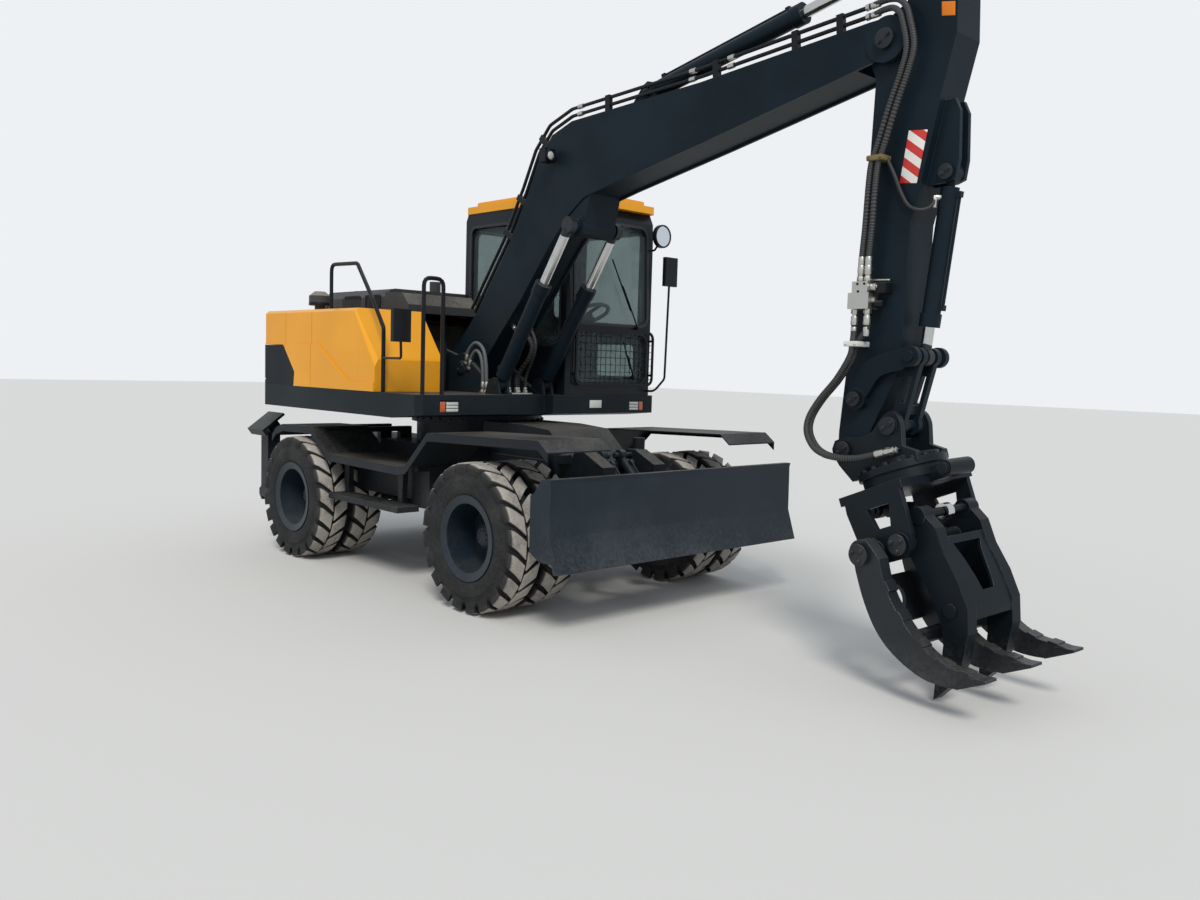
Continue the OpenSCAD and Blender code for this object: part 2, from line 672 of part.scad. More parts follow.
module deck() color("#3b4148") from_slew() {
    difference() {
        intersection() {
            linear_extrude(deck_z1)
                polygon([[-tail_r - 1, -body_half_w], [deck_front_x - 45, -body_half_w],
                    [deck_front_x, -body_half_w + 45], [deck_front_x, body_half_w - 30],
                    [deck_front_x - 30, body_half_w], [-tail_r - 1, body_half_w]]);
            tail_disc(deck_z0, deck_z1);
            // Underside rises towards the front corners
            plate([[-tail_r, deck_z0], [600, deck_z0], [deck_front_x + 1, deck_z0 + 35],
                [deck_front_x + 1, deck_z1], [-tail_r, deck_z1]], -body_half_w - 1, body_half_w + 1);
        }
        // Well for the boom's cylinders at the front
        box([840, well_y0, deck_z0 - 1], [deck_front_x + 1, well_y1, deck_z1 + 1]);
        // Recesses for the lamps
        for (y = lamp_y)
            box([deck_front_x - 22, y - 92, lamp_z - 50], [deck_front_x + 1, y + 92, lamp_z + 50]);
    }
    // Boom's foot plates
    for (t = [-1, 1]) {
        y = tool_y + t * (foot_plate_y + foot_plate_t / 2);
        plate([[-420, deck_z1 - 5], [-380, 1560], [-60, 1850], [boom_foot[0] - 80, boom_foot[1] + 105],
            [boom_foot[0] + 20, boom_foot[1] + 125], [boom_foot[0] + 95, boom_foot[1] + 70], [560, 1600],
            [790, deck_z1 - 5]], y - foot_plate_t / 2, y + foot_plate_t / 2);
    }
    let (half = foot_plate_y + foot_plate_t + 18)
        disc(boom_foot, boom_pin_d, tool_y - half, tool_y + half);
    // Cross wall behind the boom's foot
    box([-400, tool_y - foot_plate_y - 5, deck_z1 - 5], [-370, tool_y + foot_plate_y + 5, 1560]);
    // Brackets for the lift cylinders' feet
    for (t = [-1, 1])
        for (k = [-1, 1])
            let (y = tool_y + t * lift_half + k * (ram_eye_half + side_gap + 12))
            plate([[640, deck_z1 - 30], [700, lift_foot[1] + 30], [lift_foot[0] - 20, lift_foot[1] + 52],
                [lift_foot[0] + 40, lift_foot[1] + 45], [850, deck_z1 - 60], [850, deck_z0 + 40],
                [700, deck_z0 + 40]], y - 12, y + 12);
    for (t = [-1, 1])
        disc(lift_foot, lift_pin_d, tool_y + t * lift_half - 60, tool_y + t * lift_half + 60);
    // Valve bank beside the boom's foot
    box([-330, -560, deck_z1 - 1], [120, -420, 1900]);
    box([-500, -560, deck_z1 - 1], [-320, -420, 2130]);
}

module counterweight() color("#2b3036") from_slew() difference() {
    intersection() {
        tail_disc(deck_z1, 1838);
        plate([[-tail_r - 1, deck_z1], [-980, deck_z1], [-965, 1609], [-1172, 1838], [-tail_r - 1, 1838]],
            -body_half_w, body_half_w);
    }
    // Groove along the weight's foot
    difference() {
        tail_disc(1530, 1542);
        translate([0, 0, 1529]) cylinder(h = 14, r = tail_r - 10, $fn = 128);
    }
    // Lifting eyes' pockets
    both_sides() translate([-1560, 700, 1780]) cylinder(h = 60, d = 90);
}

// The weight's side as it shows in the body, as [x, z]
weight_cut = [[-2200, 1480], [-975, 1480], [-958, 1612], [-1168, 1842], [-2200, 1842]];
// Seams between the body's doors, and the crease across them
seam_x = [-1141, -674];
seam_w = 8;
crease_line = [[-1700, 1852], [-560, 1852], [-60, 1560], [330, 1560], [330, 2200], [-1700, 2200]];

module side_body() color("#e8a11c") from_slew() {
    intersection() {
        tail_disc(deck_z1, hood_z + 1);
        difference() {
            plate([[-tail_r - 1, deck_z1], [330, deck_z1], [330, 1735], [320, 1752], [10, 2140],
                [-tail_r - 1, hood_z]], -body_half_w, side_in_y);
            plate(weight_cut, -body_half_w - 1, side_in_y + 1);
            // Faces above the crease stand back
            plate(crease_line, -body_half_w - 1, -body_half_w + 12);
            for (x = seam_x)
                box([x - seam_w / 2, -body_half_w - 1, deck_z1 + 12],
                    [x + seam_w / 2, -body_half_w + 24, hood_z + 2]);
            body_facet();
            // Top edge leans in
            translate([0, -body_half_w, hood_z]) rotate([30, 0, 0]) box([-2100, -200, -28], [400, 60, 200]);
        }
    }
    intersection() {
        tail_disc(1842, hood_z);
        // Tail panel over the weight
        difference() {
            box([-tail_r - 1, side_in_y + seam_w, 1842], [-1330, body_half_w - 12, hood_z]);
            for (y = [-200, 320])
                box([-tail_r - 2, y, 1800], [-1900, y + seam_w, hood_z + 2]);
        }
    }
    // Left side body behind the cab
    difference() {
        plate([[-1330 + seam_w, 1842], [-1168, 1842], [-958, 1612], [-958, deck_z1], [cab_x0 - 40, deck_z1],
            [cab_x0 - 40, hood_z], [-1330 + seam_w, hood_z]], 640, body_half_w - 12);
        box([-940, body_half_w - 40, 1500], [-932, body_half_w, hood_z + 1]);
    }
}

// Corner facet of the body, cut by a plane
module body_facet() {
    translate([330, -body_half_w, 1735]) rotate([0, 0, -52]) rotate([0, -24, 0])
        box([-30, -900, -60], [400, 900, 900]);
}

// Section of the cover across the machine, as [y, z]
cover_line = [[side_in_y + 8, hood_z + seat], [side_in_y + 8, cover_z - 75],
    [side_in_y + 60, cover_z - 8], [side_in_y + 120, cover_z], [980, cover_z], [1070, cover_z - 20],
    [1120, cover_z - 90], [1120, hood_z + seat]];

module engine_cover() color("#3b4148") from_slew() {
    difference() {
        translate([-1700, 0, 0]) rotate([90, 0, 90]) linear_extrude(1700 + cab_x0 - 40) polygon(cover_line);
        // Rear edge slopes
        plate([[-1710, 2250], [-1620, cover_z + 1], [-1710, cover_z + 1]], -700, 1200);
        for (x = [-1300, -940])
            box([x, -700, 2190], [x + seam_w, side_in_y + 24, cover_z - 60]);
        // Air inlets
        for (i = [0:5])
            box([-1660 + i * 55, side_in_y - 10, 2190], [-1630 + i * 55, side_in_y + 40, 2260]);
    }
    // Lower part forward to the boom's foot
    plate([[cab_x0 - 41, hood_z + seat], [-200, hood_z + seat], [-200, 2210], [-300, 2310], [cab_x0 - 41, 2325]],
        side_in_y + 8, 130);
    // Air cleaner's bowl and the filler on the right side
    translate([-1172, -890, hood_z + seat]) cylinder(h = 60, d = 90);
    translate([-1172, -890, hood_z + 60]) cylinder(h = 85, d = 190);
    translate([-1172, -890, hood_z + 144]) cylinder(h = 40, d1 = 190, d2 = 90);
    box([-790, -980, hood_z + seat], [-620, -800, hood_z + 95]);
    // Exhaust stack
    translate([-1420, 500, cover_z - 5]) cylinder(h = 170, d = 110);
}

module engine() color("#4a4d50") from_slew() {
    box([-950, side_in_y + 40, deck_z1 + seat], [cab_x0 - 60, 560, 2060]);
}

// Cab

door_x0 = -70;
door_x1 = 835;
door_z0 = 1540;
door_z1 = 2990;
glass_t = 6;

cab_front = [[cab_x1, deck_z1], [cab_x1, 2070], [cab_x1 - 38, 2990], [cab_x1 - 80, cab_z1]];
cab_line = concat([[cab_x0 + 30, cab_z1], [cab_x0, cab_z1 - 60], [cab_x0, deck_z1]], cab_front);
room_line = [[cab_x0 + cab_t + 20, cab_z1 - 50], [cab_x0 + cab_t, cab_z1 - 110],
    [cab_x0 + cab_t, deck_z1 + 40], [cab_x1 - cab_t, deck_z1 + 40], [cab_x1 - cab_t, 2070],
    [cab_x1 - cab_t - 36, 2960], [cab_x1 - cab_t - 70, cab_z1 - 50]];

// A rectangle with round corners, as points from its middle
function rounded(w, h, r, n = 5) =
    [for (c = [[1, 1, 0], [-1, 1, 90], [-1, -1, 180], [1, -1, 270]]) for (i = [0:n])
    let (a = c[2] + 90 * i / n) [c[0] * (w / 2 - r) + r * cos(a), c[1] * (h / 2 - r) + r * sin(a)]];

// A window's slab, in a side wall or in a front wall
module side_slab(x0, x1, z0, z1, y0, y1, r = 70) {
    plate([for (p = rounded(x1 - x0, z1 - z0, r)) p + [(x0 + x1) / 2, (z0 + z1) / 2]], y0, y1);
}

module front_slab(y0, y1, z0, z1, x0, x1, r = 90) {
    translate([x0, 0, 0]) rotate([90, 0, 90]) linear_extrude(x1 - x0)
        polygon([for (p = rounded(y1 - y0, z1 - z0, r)) p + [(y0 + y1) / 2, (z0 + z1) / 2]]);
}

// The windshield leans back by this much
rake = atan2(38, 920);
rake_at = [cab_x1, 0, 2070];
wind_z1 = 2950;
low_z0 = 1590;
low_z1 = 2025;

module raked() {
    translate(rake_at) rotate([0, -rake, 0]) translate(-rake_at) children();
}

// Side windows, as [x0, x1, z0, z1]
right_windows = [[cab_x0 + 80, 130, 2190, 2955], [205, cab_x1 - 105, 1900, 2955]];
left_window = [cab_x0 + 80, door_x0 - 70, 2190, 2955];
rear_window = [cab_y0 + 95, cab_y1 - 95, 2300, 2935];

module cab_frame() color("#2f343a") from_slew() {
    difference() {
        plate(cab_line, cab_y0, cab_y1);
        plate(room_line, cab_y0 + cab_t, cab_y1 - cab_t);
        raked() front_slab(cab_y0 + 70, cab_y1 - 70, 2090, wind_z1, cab_x1 - cab_t - 30, cab_x1 + 30);
        front_slab(cab_y0 + 70, cab_y1 - 70, low_z0, low_z1, cab_x1 - cab_t - 1, cab_x1 + 1);
        for (w = right_windows)
            side_slab(w[0], w[1], w[2], w[3], cab_y0 - 1, cab_y0 + cab_t + 1);
        let (w = left_window) side_slab(w[0], w[1], w[2], w[3], cab_y1 - cab_t - 1, cab_y1 + 1);
        let (w = rear_window) front_slab(w[0], w[1], w[2], w[3], cab_x0 - 1, cab_x0 + cab_t + 1);
        side_slab(door_x0, door_x1, door_z0, door_z1, cab_y1 - cab_t - 1, cab_y1 + 1, 80);
        // Upright corners of the cab are cut back
        for (c = [[cab_x1, cab_y0], [cab_x1, cab_y1]])
            translate([c[0], c[1], 2250]) rotate([0, 0, 45]) cube([44, 44, 1800], center = true);
    }
    // Hinge leaves for the door
    for (z = door_leaf_z)
        for (k = [-1, 1]) {
            z0 = z + (k < 0 ? -30 : door_leaf_h + seat);
            z1 = z + (k < 0 ? -seat : door_leaf_h + 30);
            box([door_hinge[0] - 45, cab_y1 - 1, z0], [door_hinge[0] + 8, door_hinge[1] - 4, z1]);
            translate([door_hinge[0], door_hinge[1], z0]) cylinder(h = z1 - z0, d = 26);
        }
}

module cab_roof() color("#e8a11c") from_slew() {
    z = cab_z1 + seat;
    translate([0, 0, z]) linear_extrude(roof_h * 0.6)
        polygon([for (p = rounded(cab_x1 - cab_x0 + 6, cab_y1 - cab_y0 + 16, 60))
            p + [(cab_x0 + cab_x1) / 2 - 8, (cab_y0 + cab_y1) / 2]]);
    translate([0, 0, z + roof_h * 0.6 - 1]) linear_extrude(roof_h * 0.4)
        polygon([for (p = rounded(cab_x1 - cab_x0 - 90, cab_y1 - cab_y0 - 80, 110))
            p + [(cab_x0 + cab_x1) / 2 - 8, (cab_y0 + cab_y1) / 2]]);
}

module cab_glass() color("#9fc0c8", 0.4) from_slew() {
    x = cab_x1 - cab_t / 2;
    y = cab_y0 + cab_t / 2;
    raked() front_slab(cab_y0 + 70, cab_y1 - 70, 2090, wind_z1, x, x + glass_t);
    front_slab(cab_y0 + 70, cab_y1 - 70, low_z0, low_z1, x, x + glass_t);
    for (w = right_windows)
        side_slab(w[0], w[1], w[2], w[3], y, y + glass_t);
    let (w = left_window) side_slab(w[0], w[1], w[2], w[3], cab_y1 - 31, cab_y1 - 31 + glass_t);
    let (w = rear_window) front_slab(w[0], w[1], w[2], w[3], cab_x0 + 28, cab_x0 + 28 + glass_t);
}

module seat_and_controls() color("#55585c") from_slew() {
    y = (cab_y0 + cab_y1) / 2;
    z = deck_z1 + 40 + seat;
    box([-150, y - 180, z], [150, y + 180, 1800]);
    plate([[-230, 1800], [280, 1800], [300, 1870], [280, 1930], [-230, 1910]], y - 250, y + 250);
    plate([[-230, 1905], [-110, 1905], [-190, 2540], [-230, 2600], [-300, 2600], [-320, 2540]],
        y - 240, y + 240);
    plate([[-250, 2596], [-225, 2596], [-235, 2760], [-300, 2770], [-310, 2596]], y - 130, y + 130);
    // Side consoles with their levers
    for (t = [-1, 1]) {
        box([-120, y + t * 330 - 60, z], [330, y + t * 330 + 60, 2010]);
        bar([270, y + t * 330, 2005], [290, y + t * 330, 2200], 34);
    }
    // Steering column, wheel and pedals
    box([640, y - 60, z], [760, y + 60, z + 70]);
    bar([700, y, z + 60], [600, y, 2180], 90);
    translate([595, y, 2185]) rotate([0, -25, 0]) {
        rotate_extrude($fn = 40) translate([190, 0]) circle(d = 32, $fn = 12);
        for (a = [0, 120, 240])
            rotate([0, 0, a]) translate([0, -16, -10]) cube([190, 32, 20]);
    }
    for (t = [-1, 1])
        box([620, y + t * 120 - 45, z], [720, y + t * 120 + 45, z + 70]);
}

module front_guard() color("#23272b") from_slew() {
    x = cab_x1 + 32;
    y0 = cab_y0 + 50;
    y1 = cab_y1 - 24;
    difference() {
        front_slab(y0, y1, 1572, 2048, x, x + 14, 70);
        front_slab(y0 + 18, y1 - 18, 1590, 2030, x - 1, x + 15, 56);
    }
    for (i = [1:11])
        let (y = y0 + (y1 - y0) * i / 12)
        box([x + 4, y - 3, 1585], [x + 10, y + 3, 2035]);
    for (i = [1:6])
        let (z = 1580 + 460 * i / 7)
        box([x + 4, y0 + 10, z - 3], [x + 10, y1 - 10, z + 3]);
    for (y = [y0 + 4, y1 - 16])
        for (z = [1660, 1960])
            box([cab_x1 + seat, y, z], [x + 2, y + 12, z + 12]);
}

door_gap = 8;
door_hinge = [door_x0 - 10, cab_y1 + 30];

door_leaf_z = [1700, 2780];
door_leaf_h = 70;
door_panes = [[door_x0 + 70, door_x1 - 70, 2030, door_z1 - 70], [door_x0 + 110, door_x1 - 110, 1640, 1950]];

module cab_door() color("#2f343a") from_slew() {
    y0 = cab_y1 - 46;
    difference() {
        side_slab(door_x0 + door_gap, door_x1 - door_gap, door_z0 + door_gap, door_z1 - door_gap,
            y0, cab_y1 + 4, 74);
        for (p = door_panes)
            side_slab(p[0], p[1], p[2], p[3], y0 - 1, cab_y1 + 5, 60);
    }
    for (z = door_leaf_z) {
        box([door_hinge[0], cab_y1 + 3, z], [door_x0 + 60, door_hinge[1] - 4, z + door_leaf_h]);
        translate([door_hinge[0], door_hinge[1], z]) cylinder(h = door_leaf_h, d = 26);
    }
    // Handle
    box([door_x1 - 60, cab_y1 + 3, 1985], [door_x1 - 30, cab_y1 + 26, 2100]);
}

module door_glass() color("#9fc0c8", 0.4) from_slew()
    for (p = door_panes)
        side_slab(p[0], p[1], p[2], p[3], cab_y1 - 24, cab_y1 - 24 + glass_t, 60);

rail_d = 32;

module rails_and_mirrors() color("#202327") from_slew() {
    z = deck_z1 + seat;
    tube(eased([[375, -1180, z], [375, -1180, 1980], [190, -1165, 2200], [-130, -1120, 2500],
        [-545, -1120, 2510], [-545, -1120, hood_z + seat]], 60), rail_d);
    tube(eased([[900, -1170, z], [900, -1170, 2340], [900, -1000, 2340], [900, -1000, z]], 60), rail_d);
    // Right mirror on its arm
    tube(eased([[386, -1185, 1750], [720, -1240, 1750], [760, -1270, 1880]], 40), 20);
    box([741, -1345, 1870], [779, -1195, 2110]);
    // Left mirrors on their post
    tube(eased([[cab_x1 + seat, cab_y1 - 50, 1530], [1005, cab_y1 - 50, 1530], [1050, cab_y1 + 30, 1640],
        [1060, cab_y1 + 38, 2460]], 60), 20);
    box([1041, cab_y1 - 30, 2450], [1079, 1345, 2700]);
    tube(eased([[cab_x1 - 28, cab_y1 - 55, 2760], [960, cab_y1 - 55, 2760], [1008, cab_y1 - 20, 2860]], 20), 18);
    translate([990, cab_y1 - 20, 2880]) rotate([0, 90, 0]) cylinder(h = 34, d = 200);
}

module lamps() color("#d8d8d0") from_slew()
    for (y = lamp_y)
        box([deck_front_x - 22 + seat, y - 88, lamp_z - 46], [deck_front_x - 4, y + 88, lamp_z + 46]);

// Boom

boom_line = [[120, 1600], [10, 1700], [40, 1830], [345, 2126], [763, 2669], [997, 3057], [1131, 3313],
    [1265, 3450], [1480, 3520], [2721, 3579], [3961, 3684], [4110, 3690], [4190, 3600], [4160, 3490],
    [3961, 3455], [2740, 3190], [1869, 3010], [1630, 2955], [1481, 2853], [1263, 2637], [930, 2234],
    [519, 1800], [340, 1600]];
tip_fork_w = arm_w + 2 * side_gap;
tip_pin_d = 80;
nose_pin_d = 65;
rocker_pin_d = 60;
tip_rod_d = 62;
tip_fork_from = 3860;

// The boom's top edge, from its heel to the tip
boom_top = [for (i = [3:10]) boom_line[i]];
function normal2(p, q) = let (u = unit(q - p)) [-u[1], u[0]];
// A line moved sideways by d, its corners mitred
function moved(line, d, closed = false) = let (n = len(line)) [for (i = [0:n - 1])
    let (before = closed ? line[(i + n - 1) % n] : line[max(i - 1, 0)],
        after = closed ? line[(i + 1) % n] : line[min(i + 1, n - 1)],
        a = before == line[i] ? normal2(line[i], after) : normal2(before, line[i]),
        b = after == line[i] ? a : normal2(line[i], after))
    line[i] + d * (a + b) / (1 + a * b)];
// Height of the side plates' edges over the top and bottom plates
flange_h = 14;
lift_boss_y = lift_half - rod_d / 2 - side_gap;

module boom() color("#2b3138") from_slew() {
    difference() {
        union() {
            plate(moved(boom_line, -flange_h, true), tool_y - boom_w / 2 + 9, tool_y + boom_w / 2 - 9);
            for (t = [-1, 1])
                plate(boom_line, tool_y + t * (boom_w / 2 - 9) - 9, tool_y + t * (boom_w / 2 - 9) + 9);
            disc(boom_foot, 230, tool_y - boom_w / 2, tool_y + boom_w / 2);
            disc(boom_tip, 250, tool_y - boom_w / 2 - 10, tool_y + boom_w / 2 + 10);
            // Bracket for the lift cylinders' rods
            disc(lift_eye, 150, tool_y - boom_w / 2, tool_y + boom_w / 2);
            disc(lift_eye, 110, tool_y - lift_boss_y, tool_y + lift_boss_y);
            plate([[1360, 2800], [1490, 2690], [1620, 2700], [1690, 3000], [1400, 2900]],
                tool_y - boom_w / 2 + 10, tool_y + boom_w / 2 - 10);
        }
        disc(boom_foot, boom_pin_d + 2 * pin_gap, tool_y - boom_w, tool_y + boom_w);
        // Fork that holds the arm
        plate([[tip_fork_from, 3200], [4400, 3200], [4400, 3900], [tip_fork_from, 3900]],
            tool_y - tip_fork_w / 2, tool_y + tip_fork_w / 2);
    }
    disc(boom_tip, tip_pin_d, tool_y - boom_w / 2 - 28, tool_y + boom_w / 2 + 28);
    // Ears for the arm cylinder's foot
    for (t = [-1, 1])
        let (y = tool_y + t * (ram_eye_half + side_gap + 14))
        plate([[arm_cyl_foot[0] - 190, 3530], [arm_cyl_foot[0] - 50, arm_cyl_foot[1] + 40],
            [arm_cyl_foot[0] - 10, arm_cyl_foot[1] + 60], [arm_cyl_foot[0] + 35, arm_cyl_foot[1] + 48],
            [arm_cyl_foot[0] + 58, arm_cyl_foot[1] - 20], [arm_cyl_foot[0] + 80, 3530]], y - 14, y + 14);
    disc(arm_cyl_foot, 60, tool_y - 68, tool_y + 68);
}

pipe_d = 26;
// Pipes, as [distance left of the boom's middle, height over its side plates]
pipe_y = boom_w / 2 - 17;
pipes = [[-pipe_y, 40], [-pipe_y, 92], [pipe_y, 40]];
// Clamps, as [piece of the top edge, share of its length]
pipe_clamps = [[1, 0.15], [1, 0.8], [3, 0.5], [5, 0.3], [6, 0.1], [6, 0.59], [6, 0.84]];

module boom_pipes() color("#24282c") from_slew() {
    for (p = pipes)
        let (run = moved(boom_top, p[1]), last = len(run) - 1, end = run[last] - [30, 3])
        tube(eased([for (i = [0:last]) let (q = i == last ? end : run[i]) [q[0], tool_y + p[0], q[1]]], 90, 3),
            pipe_d);
    for (c = pipe_clamps)
        let (p = boom_top[c[0]], q = boom_top[c[0] + 1], u = unit(q - p), n = normal2(p, q))
        for (r = [pipes[1], pipes[2]])
            plate([for (k = [[-22, seat], [-22, r[1] + 16], [22, r[1] + 16], [22, seat]])
                p + (q - p) * c[1] + u * k[0] + n * k[1]], tool_y + r[0] - 17, tool_y + r[0] + 17);
    // Working lamp on the right side plate
    box([1275, tool_y - boom_w / 2 - 60, 3260], [1300, tool_y - boom_w / 2 - seat, 3290]);
    box([1270, tool_y - boom_w / 2 - 130, 3230], [1340, tool_y - boom_w / 2 - 30, 3330]);
}

module boom_barrels() color("#2b3138") from_slew()
    for (s = [-1, 1])
        ram_barrel(lift_foot, lift_eye, 930, barrel_d, tool_y + s * lift_half, lift_pin_d + 2 * pin_gap, rod_d);

module boom_rods() color("silver") from_slew()
    for (s = [-1, 1])
        ram_rod(lift_foot, lift_eye, 880, rod_d, tool_y + s * lift_half, 80);

// Arm

arm_line = [[4330, 4175], [4240, 4120], [4160, 3760], [3960, 3640], [3925, 3540], [3990, 3380], [3974, 2813],
    [3915, 2043], [3862, 1400], [3862, 1297], [3880, 1240], [3985, 1240], [4030, 1333], [4212, 1726],
    [4238, 1940], [4250, 2579], [4290, 2740], [4393, 3246], [4462, 3540], [4440, 4060], [4400, 4150]];

module arm() color("#2b3138") from_slew() {
    difference() {
        union() {
            plate(arm_line, tool_y - arm_w / 2, tool_y + arm_w / 2);
            disc(arm_nose, 130, tool_y - arm_w / 2, tool_y + arm_w / 2);
            disc(boom_tip, 260, tool_y - arm_w / 2, tool_y + arm_w / 2);
            disc(rocker_pin, 120, tool_y - arm_w / 2 - 4, tool_y + arm_w / 2 + 4);
        }
        disc(boom_tip, tip_pin_d + 2 * pin_gap, tool_y - boom_w, tool_y + boom_w);
        disc(arm_nose, nose_pin_d + 2 * pin_gap, tool_y - boom_w, tool_y + boom_w);
        // Fork for the arm cylinder's eye
        plate([[3900, 3860], [4150, 3860], [4480, 3990], [4600, 4400], [3900, 4400]],
            tool_y - rod_d / 2 - side_gap, tool_y + rod_d / 2 + side_gap);
    }
    disc(rocker_pin, rocker_pin_d, tool_y - arm_w / 2 - 60, tool_y + arm_w / 2 + 60);
    // Bosses of the tail's pin, beside the cylinder's eye
    for (t = [-1, 1])
        let (y = tool_y + t * (arm_w / 2))
        disc(arm_cyl_eye, 100, y - 8, y + 8);
    // Bracket for the tipping cylinder's foot
    for (t = [-1, 1])
        let (y = tool_y + t * (ram_eye_half + side_gap + 14))
        plate([[4276, 2770], [4300, 2830], [4370, 3210], [4440, 3215], [4470, 3150], [4480, 2900], [4466, 2798],
            [4420, 2780]], y - 14, y + 14);
    disc(tip_cyl_foot, 60, tool_y - 78, tool_y + 78);
}

module arm_barrel() color("#2b3138") from_slew()
    ram_barrel(arm_cyl_foot, arm_cyl_eye, 1270, barrel_d, tool_y, 60 + 2 * pin_gap, rod_d);

module arm_rod() color("silver") from_slew()
    ram_rod(arm_cyl_foot, arm_cyl_eye, 1200, rod_d, tool_y, 80);

module bucket_barrel() color("#2b3138") from_slew()
    ram_barrel(tip_cyl_foot, rocker_eye, 830, 100, tool_y, 60 + 2 * pin_gap, tip_rod_d);

module bucket_rod() color("silver") from_slew()
    ram_rod(tip_cyl_foot, rocker_eye, 780, tip_rod_d, tool_y, 58);

// Hoses and shut-off valve on the arm's right side
hose_d = 34;
hose_y = tool_y - boom_w / 2 - hose_d;
valve_x = 4026;
valve_top = 2252;
valve_foot = 2100;
// Middle lines: upper [x, z], lower [x, z, spread in x, spread in y, shift outward]
hose_line = [[4200, 3650], [4236, 3500], [4211, 3372], [4150, 3198], [4084, 2985], [4055, 2900], [4044, 2780],
    [4036, 2560], [valve_x, 2400], [valve_x, valve_top + 66]];
hose_low = [[valve_x - 10, valve_foot - 83, 40, 0, 0], [valve_x - 10, 1980, 40, 0, 0], [3993, 1904, 0, 19, 19],
    [3979, 1830, 0, 19, 19], [3900, 1704, 0, 19, 19], [3798, 1585, 0, 19, 24], [3735, 1477, 0, 19, 34],
    [3733, 1389, 0, 19, 46], [3786, 1310, 0, 19, 54], [3864, 1270, 0, 19, 58]];

module arm_hoses() color("#1d1f22") from_slew() {
    for (t = [-1, 1]) {
        tube(eased([for (p = hose_line) [p[0] + t * 22, hose_y, p[1]]], 120), hose_d);
        tube(eased([for (p = hose_low) [p[0] + t * p[2], hose_y - p[4] + t * p[3], p[1]]], 90), hose_d);
    }
    for (c = [[4062, 2927, 22], [3993, 1904, 60]])
        box([c[0] - 50, hose_y - c[2], c[1] - 16], [c[0] + 50, tool_y - arm_w / 2 - seat, c[1] + 16]);
}

module valve_block() color("#b9b9b4") from_slew() {
    box([valve_x - 59, hose_y - 30, valve_foot + 89], [valve_x + 41, tool_y - arm_w / 2 - seat, valve_top]);
    box([valve_x - 83, hose_y - 30, valve_foot], [valve_x + 50, tool_y - arm_w / 2 - seat, valve_foot + 90]);
    for (t = [-1, 1]) {
        translate([valve_x + t * 22, hose_y, valve_top - 1]) cylinder(h = 67 - seat, d = 30, $fn = 6);
        translate([valve_x - 10 + t * 40, hose_y, valve_foot - 83 + seat]) cylinder(h = 84, d = 30, $fn = 6);
    }
}

rocker_y0 = arm_w / 2 + 4 + side_gap;
rocker_t = 36;
rocker_stub = rocker_y0 + rocker_t + 14 - tip_rod_d / 2 - side_gap;
coupler_y0 = 55;
coupler_y1 = 97;
link_u = unit(rocker_eye - rocker_pin);
link_n = [-link_u[1], link_u[0]];
function on_rocker(s, h) = rocker_pin + link_u * s + link_n * h;
rocker_back = [[-30, 54], [60, 120], [190, 138], [330, 92], [430, 52]];
rocker_front = [[430, -50], [330, -30], [200, 14], [90, -20], [-20, -58]];
rocker_line = [for (line = [rocker_back, rocker_front]) for (p = curve(line, 4)) on_rocker(p[0], p[1])];

module rocker() color("#2b3138") from_slew() {
    for (t = [-1, 1])
        let (y = tool_y + t * (rocker_y0 + rocker_t / 2))
        difference() {
            union() {
                disc(rocker_pin, 124, y - rocker_t / 2, y + rocker_t / 2);
                disc(rocker_eye, 116, y - rocker_t / 2, y + rocker_t / 2);
                plate(rocker_line, y - rocker_t / 2 + 4, y + rocker_t / 2 - 4);
            }
            disc(rocker_pin, rocker_pin_d + 2 * pin_gap, y - 30, y + 30);
        }
    // Pin stubs that the coupler turns on, clear of the cylinder's eye
    for (t = [-1, 1])
        translate([0, tool_y + t * (tip_rod_d / 2 + side_gap), 0])
            disc(rocker_eye, 60, t > 0 ? 0 : -rocker_stub, t > 0 ? rocker_stub : 0);
}

module coupler() color("#2b3138") from_slew() {
    for (t = [-1, 1])
        let (y0 = tool_y + (t < 0 ? -coupler_y1 : coupler_y0), y1 = y0 + coupler_y1 - coupler_y0,
             mid = (rocker_eye + head_pin) / 2, u = unit(head_pin - rocker_eye))
        difference() {
            union() {
                disc(rocker_eye, 104, y0, y1);
                disc(head_pin, 116, y0, y1);
                web(rocker_eye, head_pin, 76, 86, y0, y1);
            }
            disc(rocker_eye, 60 + 2 * pin_gap, y0 - 1, y1 + 1);
            web(mid - u * 90, mid + u * 70, 26, 34, y0 - 1, y1 + 1);
        }
    disc(head_pin, 66, tool_y - 122, tool_y + 122);
    // Cross plate between the two sides
    let (mid = (rocker_eye + head_pin) / 2, u = unit(head_pin - rocker_eye))
        web(mid + u * 76, mid + u * 130, 40, 40, tool_y - coupler_y0 - 2, tool_y + coupler_y0 + 2);
}

// Grab

module on_ring(turn = 0) {
    translate([ring_at[0], tool_y, ring_at[1]]) rotate([0, -grab_tilt, 0]) rotate([0, 0, turn]) children();
}

ring_d = 470;
head_plate_y = arm_w / 2 + side_gap;
head_plate_t = 42;
head_line = concat([[3862, 1262], [3905, 1205], [4000, 1120], [4400, 1282], [4385, 1330], [4300, 1350]],
    curve([[4292, 1420], [4282, 1480], [4245, 1532], [4195, 1528], [4150, 1480], [4112, 1420], [4060, 1385],
    [3990, 1372], [3930, 1372]], 3), [[3868, 1345], [3852, 1297]]);

